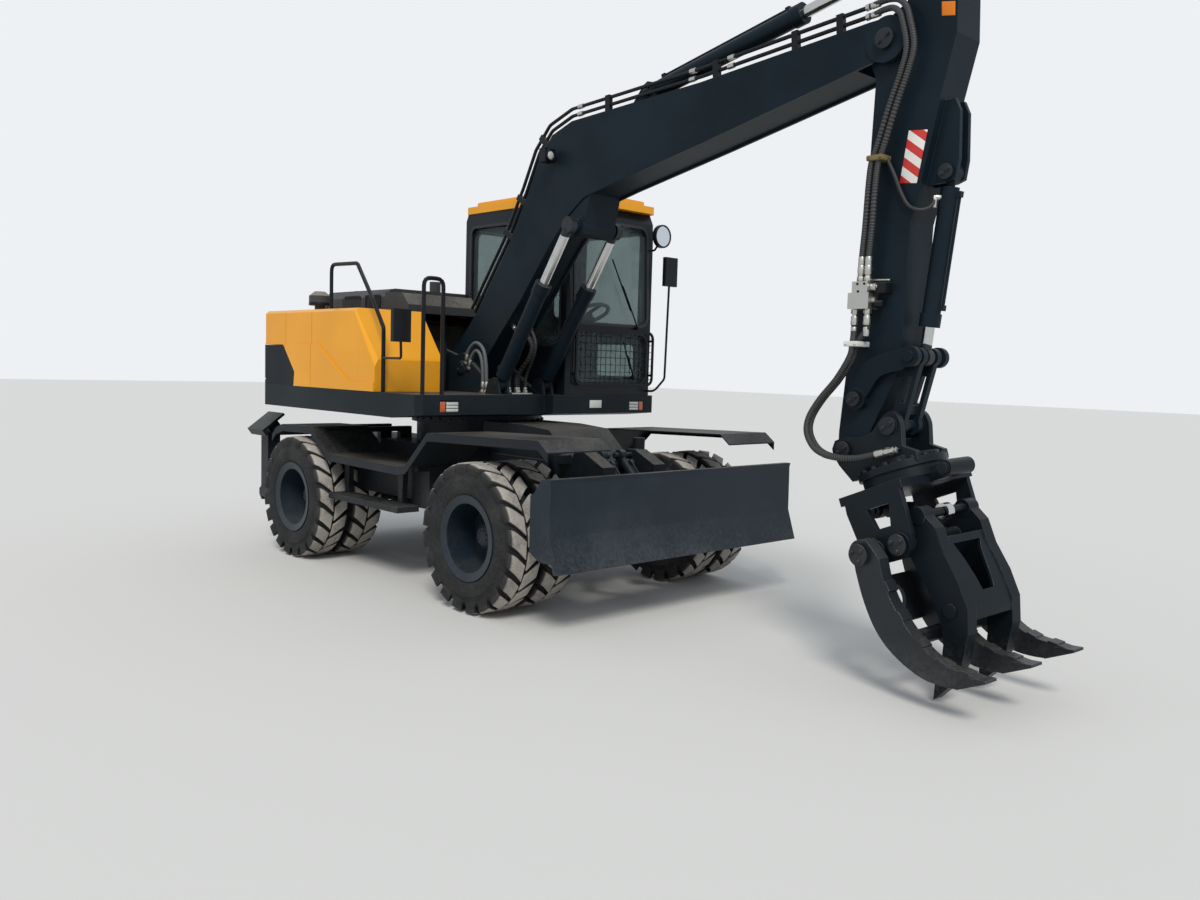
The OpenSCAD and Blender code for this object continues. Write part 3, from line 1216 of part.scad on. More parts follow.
module grab_head() color("#343c46") from_slew() {
    for (t = [-1, 1])
        let (y = tool_y + t * (head_plate_y + head_plate_t / 2))
        plate(head_line, y - head_plate_t / 2, y + head_plate_t / 2);
    disc(arm_nose, nose_pin_d, tool_y - 190, tool_y + 190);
    for (t = [-1, 1])
        let (y = tool_y + t * 160)
        disc(head_pin, 100, y - 31, y + 31);
    on_ring() {
        translate([0, 0, -40]) cylinder(h = 40, d = ring_d + 36);
        translate([0, 0, -1]) cylinder(h = 30, d = ring_d - 30);
    }
    // Cross plate between the ears, with a window
    difference() {
        plate([[4160, 1230], [4180, 1238], [4215, 1380], [4195, 1372]], tool_y - 135, tool_y + 135);
        plate([[4168, 1280], [4200, 1280], [4215, 1340], [4180, 1340]], tool_y - 60, tool_y + 60);
    }
}

hinge_w = 440;
hinge_v = 89;
cheek_y = 300;
jaw_pin_d = 84;

// Turning body's side plate: forward, and up along its axis
cheek_line = [[-205, -100], [205, -100], [185, -150], [178, -hinge_w + 40], [150, -hinge_w - 40],
    [100, -hinge_w - 78], [-100, -hinge_w - 78], [-150, -hinge_w - 40], [-190, -hinge_w + 60], [-215, -200]];

module grab_body() color("#343c46") from_slew() on_ring(grab_turn) {
    translate([0, 0, -104]) cylinder(h = 64 - seat, d = ring_d);
    box([-240, -cheek_y - 15, -150], [205, cheek_y + 15, -100]);
    difference() {
        for (t = [-1, 1])
            plate(cheek_line, t * cheek_y - 15, t * cheek_y + 15);
        for (v = [-hinge_v, hinge_v])
            disc([v, -hinge_w], jaw_pin_d + 2 * pin_gap, -500, 500);
        // Window in each side plate
        plate([[-70, -210], [90, -210], [60, -330], [-40, -330]], -500, 500);
    }
    // Bosses round the hinge pins
    for (t = [-1, 1]) for (v = [-hinge_v, hinge_v])
        difference() {
            disc([v, -hinge_w], 128, t * cheek_y - 24, t * cheek_y + 24);
            disc([v, -hinge_w], jaw_pin_d + 2 * pin_gap, -500, 500);
        }
    // Rear bracket for the closing cylinder
    for (t = [-1, 1])
        let (y = t * (ram_eye_half + side_gap + 10))
        plate([[-190, -101], [-200, -205], [-235, -245], [-270, -240], [-292, -195], [-270, -101]],
            y - 10, y + 10);
    disc(grab_cyl_foot, 50, -64, 64);
    // Turning motor and its gearbox at the front
    box([180, -70, -148], [330, 60, -66]);
    translate([345, -110, -105]) rotate([-90, 0, 0]) cylinder(h = 210, d = 92);
    translate([345, -130, -105]) rotate([-90, 0, 0]) cylinder(h = 22, d = 60);
}

// Outline of a tine from its hinge
tine_back = [[-30, 60], [-62, -40], [-72, -180], [-66, -306], [-46, -410], [-2, -512], [72, -610], [168, -696],
    [262, -742], [352, -770]];
tine_front = [[421, -696], [335, -655], [260, -593], [200, -510], [154, -415], [122, -325], [103, -234], [100, -140],
    [112, -50]];
tine_line = concat(curve(tine_back), [[529, -753]], curve(tine_front), [[60, 70]]);

module tine(y) {
    at = [-hinge_v, -hinge_w];
    plate([for (p = tine_line) at + p], y - tine_t / 2, y + tine_t / 2);
    disc(at, 160, y - tine_t / 2, y + tine_t / 2);
}

// Distance pieces between the body's bosses and the outer tines
boss_y0 = cheek_y + 24 + side_gap;
boss_y1 = tine_pitch - tine_t / 2 + 1;
// Wear blocks on a tine's front, from the hinge
wear_blocks = [[106, -200], [136, -365], [206, -520], [312, -640], [424, -700]];

module tine_jaw() color("#343c46") from_slew() on_ring(grab_turn) {
    at = [-hinge_v, -hinge_w];
    for (i = [-1:1]) {
        y = i * tine_pitch;
        tine(y);
        for (k = [0:4])
            let (p = at + wear_blocks[k], u = unit(wear_blocks[min(k + 1, 4)] - wear_blocks[max(k - 1, 0)]),
                 n = [-u[1], u[0]])
            plate([p - u * 34 - n * 16, p + u * 34 - n * 16, p + u * 28 + n * 9, p - u * 28 + n * 9],
                y - tine_t / 2, y + tine_t / 2);
        // Cutting shoe round the tip
        plate([for (q = [[352, -772], [430, -716], [540, -750], [536, -764]]) at + q],
            y - tine_t / 2 - 8, y + tine_t / 2 + 8);
    }
    disc(at, jaw_pin_d, -tine_pitch - 62, tine_pitch + 62);
    for (t = [-1, 1]) disc(at, 120, t > 0 ? boss_y0 : -boss_y1, t > 0 ? boss_y1 : -boss_y0);
    // Back plate between the tines, and the lower cross tube
    difference() {
        plate([for (q = [[-66, -140], [-70, -306], [-52, -410], [-30, -404], [-46, -306], [-42, -140]]) at + q],
            -tine_pitch, tine_pitch);
        for (t = [-1, 1])
            translate([-hinge_v - 100, t * tine_pitch / 2, -hinge_w - 265])
                rotate([0, 90, 0]) cylinder(h = 120, d = 150);
    }
    disc(at + [40, -500], 84, -tine_pitch, tine_pitch);
}

finger_line = [[-32, 34], [-60, -60], [60, -160], [130, -150], [150, -100], [185, -33], [188, 102],
    [222, 258], [230, 405], [187, 537], [97, 679], [-20, 780], [-147, 834], [-100, 740], [-29, 655], [20, 560],
    [43, 468], [40, 333]];

module finger(y) {
    at = [hinge_v, -hinge_w];
    plate([for (p = finger_line) at + [p[0], -p[1]]], y - tine_t / 2, y + tine_t / 2);
    disc(at, 150, y - tine_t / 2, y + tine_t / 2);
}

finger_eye = [hinge_v + 100, -hinge_w + 125];
grab_cyl_foot = [-250, -200];

// Cover between the two fingers, along their front edge
cover_front = [[178, -20], [182, -102], [214, -258], [222, -405], [204, -470]];

module finger_jaw() color("#343c46") from_slew() on_ring(grab_turn) {
    at = [hinge_v, -hinge_w];
    for (t = [-1, 1]) {
        finger(t * tine_pitch / 2);
        disc(finger_eye, 96, t * tine_pitch / 2 - 44, t * tine_pitch / 2 + 44);
        disc(at + [125, -398], 80, t * tine_pitch / 2 - 50, t * tine_pitch / 2 + 50);
    }
    disc(at, jaw_pin_d, -cheek_y - 46, cheek_y + 46);
    // Pin stubs beside the cylinder's eye
    disc(finger_eye, 50, -tine_pitch / 2, -ram_eye_half - side_gap);
    disc(finger_eye, 50, ram_eye_half + side_gap, tine_pitch / 2);
    disc(at + [125, -398], 60, -tine_pitch / 2, tine_pitch / 2);
    difference() {
        plate([for (q = concat(curve(cover_front, 2), reversed(shifted(curve(cover_front, 2), -18, 4)))) at + q],
            -tine_pitch / 2, tine_pitch / 2);
        // Windows
        translate([hinge_v, 0, -hinge_w]) rotate([90, 0, 90]) linear_extrude(400) {
            polygon([[-90, -130], [-120, -60], [120, -60], [90, -130], [50, -330], [-50, -330]]);
        }
    }
}

module grab_barrel() color("#2b3138") from_slew() on_ring(grab_turn)
    ram_barrel(grab_cyl_foot, finger_eye, 285, 84, 0, 50 + 2 * pin_gap, 45);

module grab_rod() color("silver") from_slew() on_ring(grab_turn)
    ram_rod(grab_cyl_foot, finger_eye, 250, 45, 0, 50);

chassis_frame();
tow_eye();
wings_and_steps();
front_axle();
rear_axle();
knuckle_left();
knuckle_right();
tyres_front_left();
tyres_front_right();
tyres_rear_left();
tyres_rear_right();
rims_front_left();
rims_front_right();
rims_rear_left();
rims_rear_right();
blade_lower_links();
blade_upper_links();
blade();
blade_barrels();
blade_rods();
stabilizer_left();
stabilizer_right();
stabilizer_barrel_left();
stabilizer_barrel_right();
stabilizer_rod_left();
stabilizer_rod_right();
deck();
counterweight();
side_body();
engine_cover();
engine();
cab_frame();
cab_roof();
cab_glass();
seat_and_controls();
front_guard();
cab_door();
door_glass();
rails_and_mirrors();
lamps();
boom();
boom_pipes();
boom_barrels();
boom_rods();
arm();
arm_barrel();
arm_rod();
arm_hoses();
valve_block();
bucket_barrel();
bucket_rod();
rocker();
coupler();
grab_head();
grab_body();
tine_jaw();
finger_jaw();
grab_barrel();
grab_rod();
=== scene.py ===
"""Dresses the wheeled excavator: a finish on every solid, and the small pieces that the solids leave out."""
import sys
import json
import logging
import math
from dataclasses import dataclass
from enum import Enum
from functools import cached_property
from typing import Iterable, Iterator, Sequence

import bmesh
import bpy
from mathutils import Matrix, Vector

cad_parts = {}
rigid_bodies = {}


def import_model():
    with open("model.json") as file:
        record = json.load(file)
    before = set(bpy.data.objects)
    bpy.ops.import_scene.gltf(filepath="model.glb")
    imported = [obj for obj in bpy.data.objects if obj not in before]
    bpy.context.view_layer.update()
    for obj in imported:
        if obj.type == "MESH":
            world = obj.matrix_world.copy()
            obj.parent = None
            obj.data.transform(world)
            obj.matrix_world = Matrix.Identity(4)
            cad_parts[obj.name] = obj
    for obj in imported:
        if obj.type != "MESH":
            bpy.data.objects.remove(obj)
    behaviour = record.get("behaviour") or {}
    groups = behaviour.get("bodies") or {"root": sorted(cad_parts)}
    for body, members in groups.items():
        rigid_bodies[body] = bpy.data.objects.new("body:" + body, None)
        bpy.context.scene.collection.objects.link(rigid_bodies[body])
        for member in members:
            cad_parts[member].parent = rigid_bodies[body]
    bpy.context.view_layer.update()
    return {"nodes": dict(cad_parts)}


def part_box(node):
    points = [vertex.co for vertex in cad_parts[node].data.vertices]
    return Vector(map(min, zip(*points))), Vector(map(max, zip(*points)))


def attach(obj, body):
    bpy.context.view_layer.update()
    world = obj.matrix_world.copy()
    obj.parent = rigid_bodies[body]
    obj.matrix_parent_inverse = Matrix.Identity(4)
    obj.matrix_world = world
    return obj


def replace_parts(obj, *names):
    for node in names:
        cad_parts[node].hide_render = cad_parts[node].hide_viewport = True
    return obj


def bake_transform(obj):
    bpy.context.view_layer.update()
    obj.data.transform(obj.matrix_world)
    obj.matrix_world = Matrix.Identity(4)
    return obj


log = logging.getLogger("excavator")

SLEW_X = -1.577  # the slewing axis in the frame, in metres
TOOL_Y = -130.0  # the middle of boom, arm and grab, in millimetres
SIDES = (1, -1)
FORWARD, LEFT, UP = Vector((1, 0, 0)), Vector((0, 1, 0)), Vector((0, 0, 1))

Triple = tuple[float, float, float]
Colour = Triple
Spot = tuple[float, float]
Opening = tuple[float, float, float, float]


def at(x: float, y: float, z: float) -> Vector:
    """A point given in millimetres from the slewing axis, in the frame's metres."""
    return Vector((x / 1000 + SLEW_X, y / 1000, z / 1000))


def circle(count: int, a: Vector, b: Vector, first: float = 0.0) -> Iterator[Vector]:
    """Directions spread evenly round a circle.

    Args:
        count: how many.
        a: where the angles start.
        b: where they are a quarter turn on.
        first: the first one's angle.

    Returns:
        One direction after the other.
    """
    for i in range(count):
        angle = first + math.tau * i / count
        yield a * math.cos(angle) + b * math.sin(angle)


def shade_of(colour: Colour, share: float) -> Colour:
    """The same colour, darker by a share below 1."""
    return tuple(c * share for c in colour)


class Val:
    """A number that runs through the nodes, with Python's own operators."""

    def __init__(self, shade: "Shade", socket: bpy.types.NodeSocket) -> None:
        """Keeps the material that the socket belongs to."""
        self.shade = shade
        self.socket = socket

    def op(self, operation: str, *others: "Val | float", flip: bool = False) -> "Val":
        """Adds one Math node.

        Args:
            operation: the node's operation.
            others: the other operands.
            flip: puts this value last.

        Returns:
            The node's result.
        """
        order = (*others, self) if flip else (self, *others)
        node = self.shade.node("ShaderNodeMath", {"operation": operation}, *order)
        return Val(self.shade, node.outputs[0])

    def __add__(self, other: "Val | float") -> "Val":
        """Sum."""
        return self.op("ADD", other)

    def __sub__(self, other: "Val | float") -> "Val":
        """Difference."""
        return self.op("SUBTRACT", other)

    def __rsub__(self, other: float) -> "Val":
        """A number less this value."""
        return self.op("SUBTRACT", other, flip=True)

    def __mul__(self, other: "Val | float") -> "Val":
        """Product."""
        return self.op("MULTIPLY", other)

    __radd__ = __add__
    __rmul__ = __mul__

    def above(self, low: float, high: float) -> "Val":
        """0 below low, 1 above high, and smooth between."""
        smooth_step = {"interpolation_type": "SMOOTHSTEP"}
        node = self.shade.node("ShaderNodeMapRange", smooth_step, self, low, high, 0.0, 1.0)
        return Val(self.shade, node.outputs[0])

    def either(self, other: "Val | float") -> "Val":
        """The larger of the two."""
        return self.op("MAXIMUM", other)

    def reach(self, other: "Val") -> "Val":
        """Distance from the middle, where the two are the places along and up."""
        return (self * self + other * other).op("SQRT")

    def wave(self) -> "Val":
        """Sine."""
        return self.op("SINE")

    def share(self, step: float) -> "Val":
        """Remainder after steps of this length, always positive."""
        return self.op("FLOORED_MODULO", step)


class Shade:
    """One material's node tree, and the few patterns that the finishes share."""

    def __init__(self, name: str) -> None:
        """Starts an empty tree with a Principled shader."""
        self.material = bpy.data.materials.new(name)
        self.material.use_nodes = True
        self.tree = self.material.node_tree
        self.tree.nodes.clear()
        self.output = self.node("ShaderNodeOutputMaterial")
        self.skin = self.node("ShaderNodeBsdfPrincipled")
        self.tree.links.new(self.skin.outputs[0], self.output.inputs[0])
        self.coords = self.node("ShaderNodeTexCoord")
        self.geometry = self.node("ShaderNodeNewGeometry")

    def node(self, kind: str, settings: dict | None = None, *values: object,
             **named: object) -> bpy.types.Node:
        """Adds a node, sets it up and fills its sockets.

        Args:
            kind: the node's type.
            settings: the node's own settings, such as its operation.
            values: what goes to the sockets, in order, None for one left alone.
            named: what goes to sockets by name, with _ for a space.

        Returns:
            The node.
        """
        made = self.tree.nodes.new(kind)
        for key, value in (settings or {}).items():
            setattr(made, key, value)
        pairs = [(made.inputs[i], v) for i, v in enumerate(values) if v is not None]
        pairs += [(made.inputs[k.replace("_", " ")], v) for k, v in named.items()]
        for socket, value in pairs:
            self.feed(socket, value)
        return made

    def feed(self, socket: bpy.types.NodeSocket, value: object) -> None:
        """Links or sets one socket.

        Args:
            socket: the socket.
            value: a result of other nodes, a colour or a number.
        """
        if isinstance(value, Val):
            value = value.socket
        if isinstance(value, bpy.types.NodeSocket):
            self.tree.links.new(value, socket)
        elif isinstance(value, tuple) and socket.type == "RGBA":
            socket.default_value = (*value[:3], 1.0)
        else:
            socket.default_value = value

    def place(self, scale: Triple) -> bpy.types.NodeSocket:
        """Coordinates of the surface, scaled along each axis."""
        return self.node("ShaderNodeMapping", None, self.coords.outputs["Object"], Scale=scale).outputs[0]

    def axis(self, name: str, source: bpy.types.NodeSocket | None = None) -> Val:
        """One coordinate, X, Y or Z, as a number."""
        parts = self.node("ShaderNodeSeparateXYZ", None, source or self.coords.outputs["Object"])
        return Val(self, parts.outputs[name])

    def noise(self, scale: float, detail: float = 4.0, rough: float = 0.55,
              stretch: Triple = (1, 1, 1)) -> Val:
        """Cloudy pattern from 0 to 1, so many cells to the metre."""
        where = self.place(stretch)
        made = self.node("ShaderNodeTexNoise", None, where, Scale=scale, Detail=detail, Roughness=rough)
        return Val(self, made.outputs["Fac"])

    def cells(self, scale: float) -> Val:
        """Distance to the nearest of scattered points."""
        made = self.node("ShaderNodeTexVoronoi", None, self.place((1, 1, 1)), Scale=scale)
        return Val(self, made.outputs["Distance"])

    def mix(self, share: Val | float, a: object, b: object) -> bpy.types.NodeSocket:
        """Mixes two colours.

        Args:
            share: how much of the second one.
            a: the colour where share is 0.
            b: the colour where it is 1.

        Returns:
            The mixed colour.
        """
        made = self.node("ShaderNodeMix", {"data_type": "RGBA"})
        self.feed(made.inputs[0], share)
        self.feed(made.inputs[6], a)
        self.feed(made.inputs[7], b)
        return made.outputs[2]

    def edges(self, radius: float) -> tuple[Val, bpy.types.NodeSocket]:
        """Edges of the solid.

        Args:
            radius: how far from an edge it reaches, in metres.

        Returns:
            A mask that is 1 on the edges, and the normal that rounds them.
        """
        soft = self.node("ShaderNodeBevel", {"samples": 4}, radius)
        normal = self.geometry.outputs["Normal"]
        dot = self.node("ShaderNodeVectorMath", {"operation": "DOT_PRODUCT"}, soft.outputs[0], normal)
        return 1 - Val(self, dot.outputs["Value"]), soft.outputs[0]

    def upward(self) -> Val:
        """1 where the surface faces up."""
        return self.axis("Z", self.geometry.outputs["Normal"])

    def bump(self, height: Val, strength: float, depth: float,
             normal: bpy.types.NodeSocket | None = None) -> bpy.types.NodeSocket:
        """Turns a height into bumps.

        Args:
            height: the height, from 0 to 1.
            strength: how strongly it shows.
            depth: how deep 1 is, in metres.
            normal: the normal to start from, where it isn't the surface's own.

        Returns:
            The bumps' normal.
        """
        made = self.node("ShaderNodeBump", None, strength, depth)
        self.feed(made.inputs["Height"], height)
        if normal:
            self.feed(made.inputs["Normal"], normal)
        return made.outputs[0]

    def done(self, **sockets: object) -> bpy.types.Material:
        """Feeds the shader's sockets.

        Args:
            sockets: what goes to each socket, by its name with _ for a space.

        Returns:
            The material.
        """
        for name, value in sockets.items():
            self.feed(self.skin.inputs[name.replace("_", " ")], value)
        return self.material


@dataclass(frozen=True)
class Paint:
    """Sprayed paint on steel, with dust where it settles and bare metal at its edges."""
    name: str
    colour: Colour
    rough: float = 0.42
    shine: float = 0.2
    coat: float = 0.03
    wear: float = 0.15
    dust: float = 0.25
    low_dust: float = 0.12
    dust_top: float = 1.15
    scratches: float = 0.12
    vary: float = 0.18
    round_edge: float = 0.004
    DUST: Colour = (0.36, 0.315, 0.26)
    STEEL: Colour = (0.30, 0.30, 0.31)

    def build(self) -> bpy.types.Material:
        """Makes the material.

        Returns:
            The material.
        """
        s = Shade(self.name)
        edge, soft = s.edges(self.round_edge)
        blotch = s.noise(1.7, 5)
        fine = s.noise(38, 6, 0.65)
        runs = s.noise(9, 4, 0.6, (1, 1, 0.12))
        speck = s.noise(160, 2)
        dark = shade_of(self.colour, 1 - self.vary)
        light = tuple(min(1.0, c * (1 + self.vary * 0.6) + 0.01 * self.vary) for c in self.colour)
        colour = s.mix(blotch.above(0.35, 0.7), dark, light)
        colour = s.mix(runs.above(0.55, 0.8) * self.vary, colour, shade_of(self.colour, 0.5))
        lines = s.noise(6, 3, 0.5, (1, 1, 14)).above(0.66, 0.70)
        scratch = lines * s.noise(3, 2).above(0.5, 0.6) * self.scratches
        colour = s.mix(scratch, colour, light)
        rubbed = (edge * (0.6 + fine * 1.6)).above(0.16, 0.34)
        worn = rubbed * s.noise(4, 4).above(0.42, 0.58) * self.wear
        colour = s.mix(worn, colour, self.STEEL)
        settled = s.upward().above(0.55, 0.95) * (blotch * 0.8 + fine * 0.7).above(0.45, 0.95) * self.dust
        low = 1 - s.axis("Z").above(0.15, self.dust_top)
        splash = low * (fine + blotch * 0.9).above(0.78, 1.15) * self.low_dust
        film = settled.either(splash)
        colour = s.mix(film, colour, self.DUST)
        roughness = self.rough + fine * 0.12 + film * 0.4 - 0.05
        bumps = s.bump(speck * 0.4 + fine * 0.6, 0.12, 0.0006, soft)
        return s.done(Base_Color=colour, Roughness=roughness, Metallic=worn * 0.7, Normal=bumps,
                      Specular_IOR_Level=self.shine, Coat_Weight=self.coat * (1 - film), Coat_Roughness=0.12)


@dataclass(frozen=True)
class Tread:
    """Tyre rubber: black walls, and pale dust on the lugs' tops and in the tread."""
    name: str = "tyre_rubber"
    black: Colour = (0.010, 0.011, 0.012)
    dust: Colour = (0.30, 0.27, 0.24)
    pale: Colour = (0.46, 0.43, 0.39)
    wheel_z: float = 0.527
    tread_r: float = 0.527

    def build(self) -> bpy.types.Material:
        """Makes the material.

        Returns:
            The material.
        """
        s = Shade(self.name)
        fine = s.noise(55, 6, 0.7)
        patch = s.noise(5, 4)
        x, z = s.axis("X"), s.axis("Z") - self.wheel_z
        axles = [sum(p.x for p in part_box(f"tyres_{end}_left")) / 2 for end in ("front", "rear")]
        middle = sum(axles) / len(axles)
        off = (x - middle).op("ABSOLUTE") - abs(axles[0] - middle)
        reach = off.reach(z)
        tread = reach.above(self.tread_r - 0.060, self.tread_r - 0.02)
        top = reach.above(self.tread_r - 0.016, self.tread_r - 0.006)
        amount = (tread * 0.06 + top * 0.95) * (fine * 0.7 + patch * 0.6).above(0.20, 0.75)
        wall = (1 - tread) * (fine + patch).above(0.85, 1.3) * 0.05
        black = s.mix(fine, self.black, (0.020, 0.020, 0.021))
        colour = s.mix(amount.either(wall), black, s.mix(patch, self.dust, self.pale))
        rings = (reach * 420).wave() * (1 - tread) * 0.5
        bumps = s.bump(fine + rings * 0.35, 0.35, 0.0012)
        return s.done(Base_Color=colour, Roughness=0.72 + amount * 0.2, Specular_IOR_Level=0.2, Normal=bumps)


@dataclass(frozen=True)
class Polished:
    """Plated cylinder rods and bare machined metal, with a painted eye where it has one."""
    name: str
    colour: Colour
    rough: float
    eye: Spot | None = None
    eye_r: float = 0.088
    PAINT: Colour = (0.008, 0.011, 0.015)

    def build(self) -> bpy.types.Material:
        """Makes the material.

        Returns:
            The material.
        """
        s = Shade(self.name)
        smear = s.noise(14, 5)
        fine = s.noise(220, 3)
        colour = s.mix(smear.above(0.5, 0.8) * 0.35, self.colour, shade_of(self.colour, 0.7))
        bare: Val | float = 1.0
        if self.eye:
            middle = at(self.eye[0], 0, self.eye[1])
            x, z = s.axis("X") - middle.x, s.axis("Z") - middle.z
            bare = x.reach(z).above(self.eye_r, self.eye_r + 0.004)
            colour = s.mix(bare, self.PAINT, colour)
        rough = self.rough + smear * 0.14 + (1 - bare) * 0.35
        return s.done(Base_Color=colour, Metallic=bare, Roughness=rough, Normal=s.bump(fine, 0.06, 0.0003))


@dataclass(frozen=True)
class Rubber:
    """Hoses, gaskets and mats, with the ridges of a spiral guard where it has any."""
    name: str
    colour: Colour = (0.012, 0.012, 0.013)
    ridges: float = 0.0
    pale: float = 0.01

    def build(self) -> bpy.types.Material:
        """Makes the material.

        Returns:
            The material.
        """
        s = Shade(self.name)
        fine = s.noise(90, 5)
        height = fine * 0.5
        if self.ridges:
            turns = (s.axis("X", s.coords.outputs["UV"]) * self.ridges).wave()
            height = height + turns * 0.9
            fine = (fine * 0.5 + turns.above(0.1, 0.9) * 0.5).either(fine - 0.2)
        light = tuple(c * 2.4 + self.pale for c in self.colour)
        colour = s.mix(fine.above(0.4, 0.8) * 0.5, self.colour, light)
        return s.done(Base_Color=colour, Roughness=0.5 + fine * 0.2, Normal=s.bump(height, 0.5, 0.0015))


@dataclass(frozen=True)
class Glass:
    """Window glass with a thin film of dust."""
    name: str = "window_glass"
    seen_through: Colour = (0.80, 0.86, 0.85)
    colour: Colour = (0.10, 0.125, 0.13)

    def build(self) -> bpy.types.Material:
        """Makes the material.

        Returns:
            The material.
        """
        s = Shade(self.name)
        film = s.noise(3, 5).above(0.45, 0.8) * 0.10
        clear = s.node("ShaderNodeBsdfTransparent", None, self.seen_through)
        s.done(Base_Color=self.colour, Roughness=0.03, Specular_IOR_Level=0.6)
        both = s.node("ShaderNodeMixShader", None, film + 0.30, clear.outputs[0], s.skin.outputs[0])
        s.tree.links.new(both.outputs[0], s.output.inputs[0])
        return s.material


@dataclass(frozen=True)
class Lens:
    """Moulded lamp lens with fine ribs."""
    name: str
    colour: Colour

    def build(self) -> bpy.types.Material:
        """Makes the material.

        Returns:
            The material.
        """
        s = Shade(self.name)
        ribs = (s.axis("Y") * 900).wave() * (s.axis("Z") * 900).wave()
        shade = s.mix(ribs.above(-0.4, 0.8), shade_of(self.colour, 0.55), self.colour)
        return s.done(Base_Color=shade, Roughness=0.12, Coat_Weight=0.6, Normal=s.bump(ribs, 0.35, 0.001))


@dataclass(frozen=True)
class Cloth:
    """Woven seat cloth, or a loose pale cover."""
    name: str
    colour: Colour
    threads: float = 900.0

    def build(self) -> bpy.types.Material:
        """Makes the material.

        Returns:
            The material.
        """
        s = Shade(self.name)
        weave = (s.axis("X") * self.threads).wave() * (s.axis("Y") * self.threads).wave()
        worn = s.noise(9, 4)
        colour = s.mix(worn.above(0.3, 0.8) * 0.5, self.colour, shade_of(self.colour, 0.6))
        bumps = s.bump(weave + worn, 0.3, 0.0012)
        return s.done(Base_Color=colour, Roughness=0.9, Sheen_Weight=0.25, Normal=bumps)


@dataclass(frozen=True)
class Stripes:
    """Red and white reflecting sheet, its bars leaning."""
    name: str = "reflector_sheet"
    pitch: float = 0.085
    red: Colour = (0.52, 0.028, 0.020)
    white: Colour = (0.72, 0.70, 0.66)
    grime: Colour = (0.25, 0.22, 0.19)

    def build(self) -> bpy.types.Material:
        """Makes the material.

        Returns:
            The material.
        """
        s = Shade(self.name)
        lean = s.axis("Z") * 0.8 + s.axis("X") * 0.6
        bar = lean.share(self.pitch).op("GREATER_THAN", self.pitch / 2)
        worn = s.noise(60, 5)
        cells = s.cells(420)
        colour = s.mix(bar, self.white, self.red)
        colour = s.mix(worn.above(0.62, 0.8) * 0.5, colour, self.grime)
        return s.done(Base_Color=colour, Roughness=0.28 + worn * 0.1, Normal=s.bump(cells, 0.2, 0.0004))


